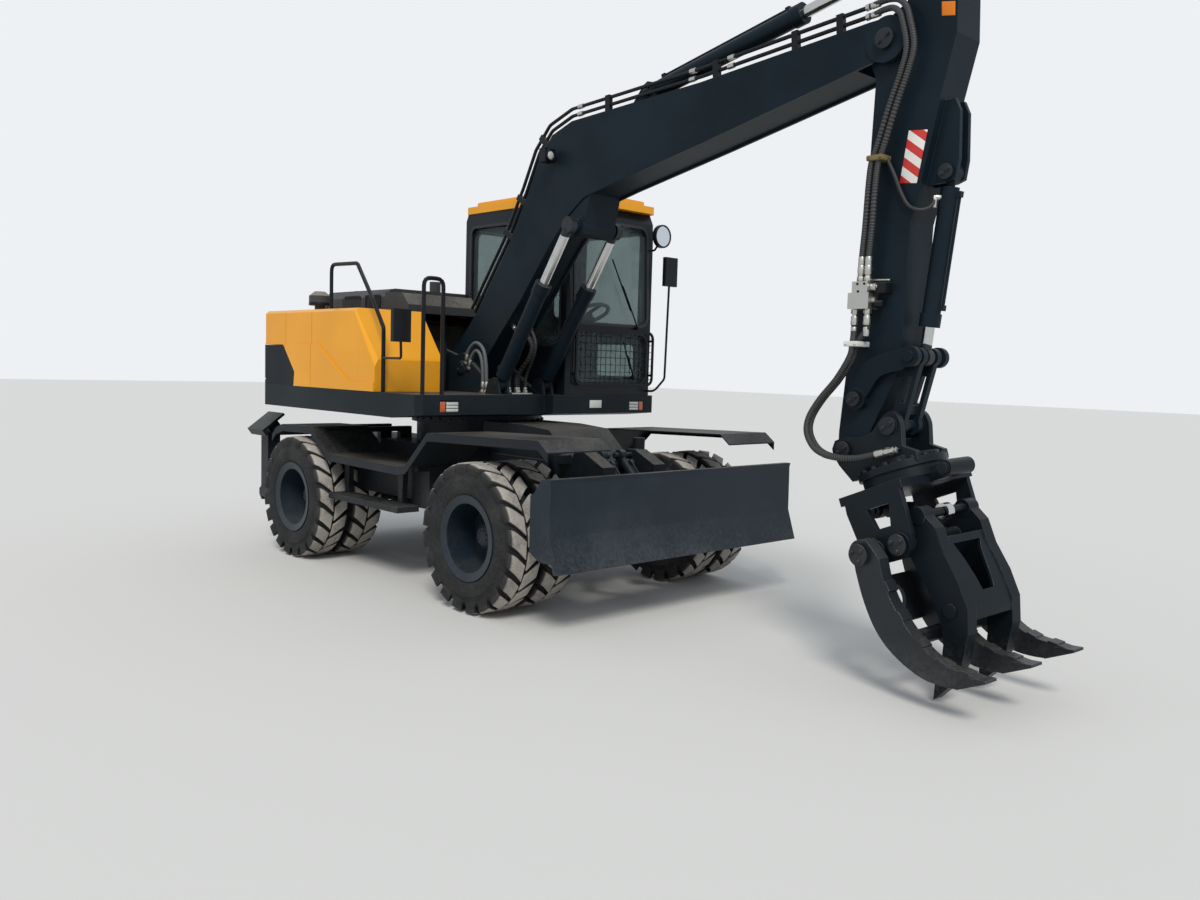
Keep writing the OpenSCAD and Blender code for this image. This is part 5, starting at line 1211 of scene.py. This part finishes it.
@dataclass
class Body:
    """The upper structure's trim: lamps, screens, bars, a cap and plates."""
    lamp_width: float = 0.172
    red_width: float = 0.046
    lamp_rim: float = 0.004
    lens_edge: float = 0.009
    screens: tuple[Spot, ...] = ((-1260, -980), (-900, -640))
    screen_y: float = -594.0
    screen_z: float = 2245.0
    screen_bars: int = 12
    hood_top: float = 2358.0
    cap: Triple = (-1172, -890, 2200)
    grips: tuple[float, ...] = (-1060, -940, -820)

    def build(self) -> None:
        """Makes the upper structure's pieces."""
        self.lamps()
        self.hood()
        self.plates()

    def lamps(self) -> None:
        """Lamp clusters at the deck's front corners: an orange-red lens, and three clear bars by it."""
        low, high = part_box("lamps")
        front = high.x - self.lamp_rim
        bottom, top = low.z + self.lens_edge, high.z - self.lens_edge
        third = (top - bottom) / 3
        red, clear, screws = Form("turn_lenses"), Form("clear_lenses"), Form("lamp_screws")
        for side in SIDES:
            outer = high.y - self.lamp_rim if side > 0 else low.y + self.lamp_rim
            near, far = sorted((outer, outer - side * self.red_width))
            red.block((front, near, bottom), (front + 0.008, far, top), 0.004, segments=3)
            near, far = sorted(outer - side * y for y in (self.red_width + 0.010, self.lamp_width - 0.010))
            for z in (bottom + third * k for k in range(3)):
                corner = (front + 0.007, far, z + third - 0.002)
                clear.block((front, near, z + 0.002), corner, 0.004, segments=3)
            for y in (outer - side * (self.red_width + 0.005), outer - side * (self.lamp_width - 0.004)):
                for z in (low.z + 0.006, high.z - 0.006):
                    screws.rod((front, y, z), (front + 0.006, y, z), 0.0035, 10)
        red.piece("upper", Finish.AMBER, "lamp", 60)
        clear.piece("upper", Finish.CLEAR, "lamp", 60)
        screws.piece("upper", Finish.BOLT, "black_steel")

    def hood(self) -> None:
        """Screens, latch bars, bands and the air cleaner's cap on the engine's cover."""
        form = Form("hood_screens")
        for x0, x1 in self.screens:
            middle = at((x0 + x1) / 2, self.screen_y, self.screen_z)
            form.frame(middle, FORWARD, UP, (x1 - x0) / 1000, 0.12, 0.02, 0.012, 0.008)
            for i in range(1, self.screen_bars):
                foot = at(x0 + (x1 - x0) * i / self.screen_bars, self.screen_y, self.screen_z - 55)
                form.rod(foot, foot + UP * 0.110, 0.003, 6)
        for x in (-1500, -1000):
            form.block(at(x, 300, self.hood_top + 2), at(x + 40, 700, self.hood_top + 10), 0.003)
        form.piece("upper", Finish.TUBE, "black_steel")
        bands = Form("hood_bands")
        for x in (-1290, -630):
            bands.block(at(x, -470, self.hood_top), at(x + 12, 930, self.hood_top + 6), 0.002)
        dome = [(0.02, 0.09), (0.055, 0.086), (0.085, 0.06), (0.097, 0.02), (0.097, 0)]
        bands.lathe(dome, at(*self.cap), UP, 40)
        bands.piece("upper", Finish.TUBE, "black_steel")

    def plates(self) -> None:
        """Bare rating plate on the deck's front, and anti-slip strips on top of the side body."""
        form = Form("bare_rating_plate")
        form.block(at(950, 455, 1385), at(955, 590, 1450), 0.002)
        form.piece("upper", Finish.PLATE, "lamp")
        strips = Form("grip_strips")
        for y in self.grips:
            strips.block(at(-560, y - 22, 2139), at(-60, y + 22, 2143), 0.001)
        strips.piece("upper", Finish.RUBBER, "black_steel")


@dataclass
class Boom:
    """The working lamp's lens, the pipes' fittings and the hoses between deck and boom, in millimetres."""
    lamp: Triple = (1340, TOOL_Y - 245, 3280)
    right_pipes: float = -278.0
    left_pipe: float = 18.0
    pipe_step: float = 52.0
    couplings: tuple[Triple, ...] = ((1560, 3524, 0.048), (2640, 3575, 0.048), (2960, 3599, 0.085))
    belly_hoses: tuple[Spot, ...] = ((-200, 30), (-152, 70), (-106, 55), (-60, 10))
    belly_x: float = 690.0
    foot_y: float = -343.0
    foot_arches: tuple[tuple[Spot, ...], ...] = (
        ((290, 1742), (326, 1835), (420, 1895), (520, 1850), (566, 1720), (578, 1514)),
        ((334, 1700), (366, 1780), (428, 1832), (488, 1796), (520, 1700), (530, 1514)))

    def build(self) -> None:
        """Makes the boom's pieces."""
        self.work_lamp()
        self.pipe_fittings()
        self.hoses()

    def work_lamp(self) -> None:
        """The working lamp's lens in its bezel."""
        lens, bezel = Form("boom_lamp_lens"), Form("boom_lamp_bezel")
        dome = [(0.0, 0.010), (0.022, 0.008), (0.034, 0.002), (0.036, -0.004)]
        lens.lathe(dome, at(*self.lamp), FORWARD, 28)
        lens.piece("boom", Finish.CLEAR, "lamp", 60)
        ring = [(0.036, -0.004), (0.036, 0.012), (0.044, 0.012), (0.046, 0.0), (0.044, -0.004)]
        bezel.lathe(ring, at(*self.lamp), FORWARD, 28, closed=True)
        bezel.piece("boom", Finish.TUBE, "black_steel")

    def pipe_fittings(self) -> None:
        """Fittings on the steel pipes' ends, and the couplings along them."""
        form = Form("pipe_end_fittings")
        right, left = self.right_pipes, self.left_pipe
        for end in ((3922, right, 3773), (3926, right, 3721), (3926, left, 3721)):
            form.ferrule(at(*end), FORWARD + UP * 0.085, 0.017)
        lines = ((right, 40), (right, 40 + self.pipe_step), (left, 40))
        for x, z, rise in self.couplings:
            half = (FORWARD + UP * rise).normalized() * 0.024
            for y, up in lines:
                middle = at(x, y, z + up)
                form.rod(middle - half, middle + half, 0.0185, 6, bevel=0.001)
        form.piece("boom", Finish.ZINC, "bare_cast")

    def hoses(self) -> None:
        """Hoses from the deck to the boom's belly, between the lift cylinders, and two more at its foot."""
        ports, belly = Form("deck_hose_fittings"), Form("belly_hose_fittings")
        for i, (y, bulge) in enumerate(self.belly_hoses):
            x = self.belly_x + (i % 2) * 34
            line = smooth([(x, y, 1514), (x + 10, y, 1640), (x + 90 + bulge, y - 6, 1790),
                           (x + 110 + bulge, y, 1900), (x + 70, y, 2000), (x + 22, y, 2056)])
            Hose(f"belly_hose_{i + 1}", line, Finish.SHORT_HOSE, 0.03, "loose").bridge()
            ports.rod(at(x, y, 1500), at(x, y, 1522), 0.020, 6, bevel=0.001)
            ports.rod(at(x, y, 1520), at(x, y, 1546), 0.0175, 16, bevel=0.003)
            way = line[-1] - line[-2]
            belly.ferrule(line[-1] + way.normalized() * 0.030, -way, 0.017)
        ports.block(at(640, -240, 1487), at(780, -20, 1502), 0.004)
        for i, arch in enumerate(self.foot_arches, 1):
            line = smooth([(x, self.foot_y, z) for x, z in arch])
            Hose(f"foot_hose_{i}", line, Finish.SLEEVE, 0.03, "loose").ride("upper")
            ports.ferrule(line[-1] - UP * 0.018, UP, 0.017)
            way = line[1] - line[0]
            ports.ferrule(line[0] - way.normalized() * 0.022, way, 0.017)
        ports.block(at(505, self.foot_y - 29, 1487), at(604, self.foot_y + 19, 1500), 0.003)
        ports.piece("upper", Finish.ZINC, "bare_cast")
        belly.piece("boom", Finish.ZINC, "bare_cast")


@dataclass
class Arm:
    """Hoses, plates and fittings on the arm, in millimetres."""
    hose_y: float = -329.0
    valve_x: float = 4026.0
    plate_y: float = TOOL_Y - 125
    steps: int = 8
    tips: tuple[tuple[Triple, ...], ...] = (
        ((3927, -278, 3721), (3976, -279, 3726), (4040, -292, 3733), (4108, -312, 3724), (4152, -325, 3693)),
        ((3923, -278, 3773), (3972, -279, 3779), (4060, -290, 3784), (4140, -308, 3762), (4195, -324, 3712)))
    down: tuple[Spot, ...] = (
        (4200, 3650), (4236, 3500), (4211, 3372), (4150, 3198), (4084, 2985), (4055, 2900), (4044, 2780),
        (4036, 2560), (4026, 2400), (4026, 2318))
    loop: tuple[tuple[float, ...], ...] = (
        (4016, 2017, 40, 0, 0), (4016, 1980, 40, 0, 0), (3993, 1904, 0, 19, 19), (3979, 1830, 0, 19, 19),
        (3900, 1704, 0, 19, 19), (3798, 1585, 0, 19, 24), (3735, 1477, 0, 19, 34), (3733, 1389, 0, 19, 46),
        (3786, 1310, 0, 19, 54), (3864, 1270, 0, 19, 58))
    ends: tuple[Triple, ...] = ((3966, 1258, 58), (4080, 1268, 54), (4160, 1288, 48), (4214, 1304, 44))
    port: tuple[Triple, ...] = (
        (4104, -290, 2927), (4150, -284, 2838), (4192, -278, 2740), (4238, -272, 2664), (4292, -262, 2634),
        (4332, -226, 2642), (4347, -197, 2672), (4351, -186, 2700))
    striped: tuple[Spot, ...] = ((4172, 2788), (4276, 2778), (4324, 3056), (4212, 3066))
    orange: tuple[Spot, ...] = ((4370, 3638), (4446, 3624), (4442, 3697), (4365, 3712))

    def build(self) -> None:
        """Makes the arm's pieces."""
        self.hoses()
        self.port_line()
        self.plate("striped_plate", self.striped, Finish.STRIPE)
        self.plate("bare_orange_plate", self.orange, Finish.ORANGE)
        self.fittings()
        self.clamps()

    def hoses(self) -> None:
        """Two hoses from the boom's tip to the shut-off valve, and two that loop on to the grab's head."""
        y = self.hose_y
        for i, (side, tip) in enumerate(zip((-1, 1), self.tips), 1):
            line = smooth([*tip, *((x + side * 22, y, z) for x, z in self.down)], self.steps)
            cut = len(tip) * self.steps
            Hose(f"hose_tip_{i}", line[:cut + 1], Finish.SHORT_HOSE, lay="loose").bridge()
            Hose(f"hose_upper_{i}", line[cut:], Finish.HOSE).ride("arm", "arm_hoses")
            loop = [(x + side * dx, y - out + side * dy, z) for x, z, dx, dy, out in self.loop]
            line = smooth([*loop, *((x, y + side * 19 - out, z) for x, z, out in self.ends)], self.steps)
            cut = (len(loop) - 1) * self.steps
            Hose(f"hose_lower_{i}", line[:cut + 1], Finish.HOSE, lay="loose").ride("arm", "arm_hoses")
            Hose(f"hose_grab_{i}", line[cut:], Finish.SHORT_HOSE, lay="loose").bridge()
            self.head_end(i, line)

    def head_end(self, i: int, line: list[Vector]) -> None:
        """Makes a hose's end fitting on the grab's head, with its elbow into the plate.

        Args:
            i: the hose's number.
            line: the hose's line.
        """
        form = Form(f"grab_hose_fitting_{i}")
        way = (line[-1] - line[-2]).normalized()
        form.ferrule(line[-1] + way * 0.062, -way)
        knee = line[-1] + way * 0.070
        form.rod(knee, (knee.x, (TOOL_Y - 176) / 1000, knee.z), 0.014, 14, bevel=0.002)
        form.rod(knee - way * 0.012, knee + way * 0.016, 0.019, 6, bevel=0.001)
        form.piece("grab_head", Finish.ZINC, "bare_cast")

    def port_line(self) -> None:
        """Short hose round the arm's edge to the port near the tipping cylinder's foot."""
        line = smooth(self.port)
        Hose("port_hose", line, Finish.BLACK_HOSE, 0.022, "loose").bridge()
        form = Form("cylinder_port")
        form.rod(at(4378, -158, 2704), at(4350, -187, 2704), 0.016, 14, bevel=0.002)
        form.rod(line[-1] - UP * 0.05, line[-1] + UP * 0.012, 0.0145, 6, bevel=0.001)
        form.piece("bucket_barrel", Finish.ZINC, "bare_cast")

    def plate(self, name: str, corners: Sequence[Spot], finish: Finish) -> None:
        """Makes one flat plate on the arm's side.

        Args:
            name: the piece's name.
            corners: its corners, along and up.
            finish: its finish.
        """
        form = Form(name)
        form.slab([at(x, self.plate_y, z) for x, z in corners], LEFT * -0.003, 0.0008)
        form.piece("arm", finish)

    def fittings(self) -> None:
        """Nuts, coils and pipe of the shut-off valve."""
        form, dark = Form("valve_fittings"), Form("valve_solenoids")
        y, x = self.hose_y, self.valve_x
        for dx, z in ((-24, 2238), (20, 2238), (-18, 2196)):
            dark.rod(at(x + dx, y - 30, z), at(x + dx, y - 33, z), 0.007, 12)
        for side in SIDES:
            above, below = x + side * 22, x + side * 40 - 10
            for place, z, way, radius in ((above, 2256, UP, 0.0185), (above, 2304, UP, 0.0175),
                                          (below, 2096, -UP, 0.0185), (below, 2034, -UP, 0.0175)):
                form.ferrule(at(place, y, z), way, radius)
        form.rod(at(x + 41, y + 8, 2222), at(x + 78, y + 8, 2222), 0.021, 24, bevel=0.004)
        form.rod(at(x + 76, y + 8, 2222), at(x + 88, y + 8, 2222), 0.012, 12, bevel=0.002)
        form.rod(at(x + 50, y + 10, 2150), at(x + 72, y + 10, 2150), 0.018, 6, bevel=0.002)
        form.rod(at(x + 30, y + 30, 2262), at(x + 134, y + 46, 2260), 0.006, 10, bevel=0.001)
        dark.block(at(x + 84, y - 8, 2184), at(x + 136, -254, 2246), 0.006)
        dark.rod(at(x + 60, y + 24, 2128), at(x + 112, y + 24, 2128), 0.020, 16, bevel=0.003)
        form.piece("arm", Finish.ZINC, "bare_cast")
        dark.piece("arm", Finish.TUBE, "black_steel")

    def clamps(self) -> None:
        """The hoses' upper and lower clamp."""
        y = self.hose_y
        for name, x, z, front, half, finish in (("upper_hose_clamp", 4062, 2927, y - 22, 50, Finish.KHAKI),
                                                ("lower_hose_clamp", 3993, 1904, y - 60, 44, Finish.PLATE)):
            form = Form(name)
            form.block(at(x - half, front, z - 15), at(x + half, self.plate_y, z + 15), 0.005)
            for dx in (12 - half, half - 12):
                form.bolt(at(x + dx, front, z), -LEFT, 0.013)
            form.piece("arm", finish, "slate_paint")


@dataclass
class Grab:
    """Bolts of the grab's turning ring, and the plates on its jaws' pins. Its sizes are in metres."""
    tilt: float = math.radians(22)
    turn: float = math.radians(-8)
    middle: Triple = (4205, TOOL_Y, 1225)
    bolt_ring: float = 0.240
    hinge: Spot = (0.089, 0.440)
    hinges: tuple[tuple[str, int, float, float], ...] = (
        ("tine_jaw", -1, 0.462, 0.060), ("finger_jaw", 1, 0.346, 0.058))

    def build(self) -> None:
        """Makes the grab's bolts and pin plates."""
        up = UP * math.cos(self.tilt) - FORWARD * math.sin(self.tilt)
        level = FORWARD * math.cos(self.tilt) + UP * math.sin(self.tilt)
        ahead = level * math.cos(self.turn) + LEFT * math.sin(self.turn)
        across = LEFT * math.cos(self.turn) - level * math.sin(self.turn)
        middle = at(*self.middle)
        ring = Form("ring_bolts")
        for spot in circle(20, ahead, across):
            ring.bolt(middle + spot * self.bolt_ring, up, 0.022)
        ring.piece("grab_head", Finish.BOLT, "slate_paint")
        for body, end, reach, radius in self.hinges:
            form = Form(f"hinge_plates_{body}")
            pin = middle + ahead * self.hinge[0] * end - up * self.hinge[1]
            for side in SIDES:
                bolts = (spot * 0.6 for spot in circle(3, ahead, up, 0.4))
                form.pin_plate(pin + across * side * reach, across * side, radius, bolts)
            form.piece(body, Finish.BOLT, "slate_paint")


@dataclass
class Undercarriage:
    """Steps' treads and the slewing ring's bolts."""
    ring_radius: float = 0.565
    ring_bolts: int = 36
    step_y: float = 1090.0
    step_z: float = 619.0

    def build(self) -> None:
        """Makes the undercarriage's pieces."""
        bolts = Form("slewing_ring_bolts")
        for spot in circle(self.ring_bolts, FORWARD, LEFT):
            bolts.bolt(at(0, 0, 1262) + spot * self.ring_radius, spot, 0.02)
        bolts.piece("chassis", Finish.BOLT, "slate_paint")
        treads = Form("step_treads")
        for y in (side * self.step_y for side in SIDES):
            for x in range(-430, 600, 40):
                treads.block(at(x, y - 80, self.step_z), at(x + 10, y + 80, self.step_z + 7), 0.002)
        treads.piece("chassis", Finish.BOLT, "slate_paint")


@dataclass
class Studio:
    """Camera at the photograph's place, plain floor and even light."""
    place: Triple = (5.6204, -5.3423, 1.7353)
    yaw: float = math.radians(136.47)
    pitch: float = math.radians(-4.705)
    roll: float = math.radians(1.7216)
    lens: float = 30.484
    ground: Colour = (0.60, 0.59, 0.57)
    sky: Colour = (0.90, 0.92, 0.95)
    even: Colour = (0.86, 0.93, 1.0)
    sun: Colour = (1.0, 0.97, 0.92)

    def build(self) -> None:
        """Sets up the view and the light."""
        self.camera()
        self.floor()
        self.light()
        bpy.context.scene.view_settings.view_transform = "Standard"

    def camera(self) -> None:
        """The photograph's camera."""
        level = FORWARD * math.cos(self.yaw) + LEFT * math.sin(self.yaw)
        look = level * math.cos(self.pitch) + UP * math.sin(self.pitch)
        right = look.cross(UP).normalized()
        up = right.cross(look)
        across = right * math.cos(self.roll) + up * math.sin(self.roll)
        upright = up * math.cos(self.roll) - right * math.sin(self.roll)
        data = bpy.data.cameras.new("camera")
        data.lens, data.sensor_width, data.clip_end = self.lens, 36, 200
        made = bpy.data.objects.new("camera", data)
        turn = Matrix((across, upright, -look)).transposed().to_4x4()
        made.matrix_world = Matrix.Translation(self.place) @ turn
        bpy.context.scene.collection.objects.link(made)
        bpy.context.scene.camera = made

    def floor(self) -> None:
        """A wide pale floor."""
        bm = bmesh.new()
        bmesh.ops.create_grid(bm, x_segments=1, y_segments=1, size=60)
        mesh = bpy.data.meshes.new("floor")
        bm.to_mesh(mesh)
        bm.free()
        shade = Shade("pale_floor")
        mesh.materials.append(shade.done(Base_Color=self.ground, Roughness=0.9, Specular_IOR_Level=0.2))
        made = bpy.data.objects.new("floor", mesh)
        bpy.context.scene.collection.objects.link(made)

    def light(self) -> None:
        """A bright sky seen only by the camera, straight or through glass, an even light, and one soft sun.
        """
        world = bpy.data.worlds.new("studio")
        bpy.context.scene.world = world
        world.use_nodes = True
        nodes, links = world.node_tree.nodes, world.node_tree.links
        nodes.clear()
        path = nodes.new("ShaderNodeLightPath")
        even, seen = nodes.new("ShaderNodeBackground"), nodes.new("ShaderNodeBackground")
        for node, colour, strength in ((even, self.even, 0.75), (seen, self.sky, 0.95)):
            node.inputs[0].default_value = (*colour, 1)
            node.inputs[1].default_value = strength
        mix, out = nodes.new("ShaderNodeMixShader"), nodes.new("ShaderNodeOutputWorld")
        links.new(path.outputs["Is Camera Ray"], mix.inputs[0])
        links.new(even.outputs[0], mix.inputs[1])
        links.new(seen.outputs[0], mix.inputs[2])
        links.new(mix.outputs[0], out.inputs[0])
        data = bpy.data.lights.new("soft_sun", "SUN")
        data.energy, data.angle, data.color = 2.2, math.radians(18), self.sun
        made = bpy.data.objects.new("soft_sun", data)
        made.rotation_euler = (math.radians(38), math.radians(24), math.radians(20))
        bpy.context.scene.collection.objects.link(made)


NODE_FINISH: dict[Finish, tuple[str, ...]] = {
    Finish.UNDER: ("chassis_frame", "tow_eye", "wings_and_steps", "front_axle", "rear_axle", "knuckle_left",
                   "knuckle_right"),
    Finish.SLATE: ("blade_lower_links", "blade_upper_links", "blade_barrels", "stabilizer_left",
                   "stabilizer_right", "stabilizer_barrel_left", "stabilizer_barrel_right"),
    Finish.BLADE: ("blade",),
    Finish.DECK: ("deck",),
    Finish.WEIGHT: ("counterweight",),
    Finish.YELLOW: ("side_body", "cab_roof"),
    Finish.HOOD: ("engine_cover",),
    Finish.CAST: ("engine",),
    Finish.CAB: ("cab_frame", "cab_door"),
    Finish.GLASS: ("cab_glass", "door_glass"),
    Finish.RUBBER: ("seat_and_controls", "lamps"),
    Finish.TUBE: ("rails_and_mirrors", "front_guard", "boom_pipes"),
    Finish.BOOM: ("boom", "arm", "boom_barrels", "arm_barrel", "bucket_barrel", "rocker", "coupler"),
    Finish.LIFT_ROD: ("boom_rods",),
    Finish.ARM_ROD: ("arm_rod",),
    Finish.TIP_ROD: ("bucket_rod",),
    Finish.CHROME: ("grab_rod", "blade_rods", "stabilizer_rod_left", "stabilizer_rod_right"),
    Finish.ZINC: ("valve_block",),
    Finish.HOSE: ("arm_hoses",),
    Finish.GRAB: ("grab_head", "grab_body", "finger_jaw", "grab_barrel"),
    Finish.TINE: ("tine_jaw",),
    Finish.RIM: ("rims_front_left", "rims_front_right", "rims_rear_left", "rims_rear_right"),
    Finish.TYRE: ("tyres_front_left", "tyres_front_right", "tyres_rear_left", "tyres_rear_right"),
}


def paint_nodes(nodes: dict[str, bpy.types.Object]) -> None:
    """Gives every solid its finish.

    Args:
        nodes: the frame's objects by name.
    """
    for finish, names in NODE_FINISH.items():
        for name in names:
            mesh = nodes[name].data
            mesh.materials.clear()
            mesh.materials.append(finish.material)
    left = set(nodes) - {n for names in NODE_FINISH.values() for n in names}
    if left:
        log.warning("no finish on %s", sorted(left))


def main() -> None:
    """Builds the scene."""
    log.setLevel(logging.INFO)
    log.addHandler(logging.StreamHandler(sys.stdout))
    for spare in list(bpy.data.objects):
        bpy.data.objects.remove(spare)
    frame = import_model()
    Studio().build()
    paint_nodes(frame["nodes"])
    corners = ("front_left", "front_right", "rear_left", "rear_right")
    parts = (Pins(), Cab(), Body(), Boom(), Arm(), Grab(), Undercarriage())
    for part in (*(Wheels(corner) for corner in corners), *parts):
        part.build()


if __name__ == "__main__":
    main()
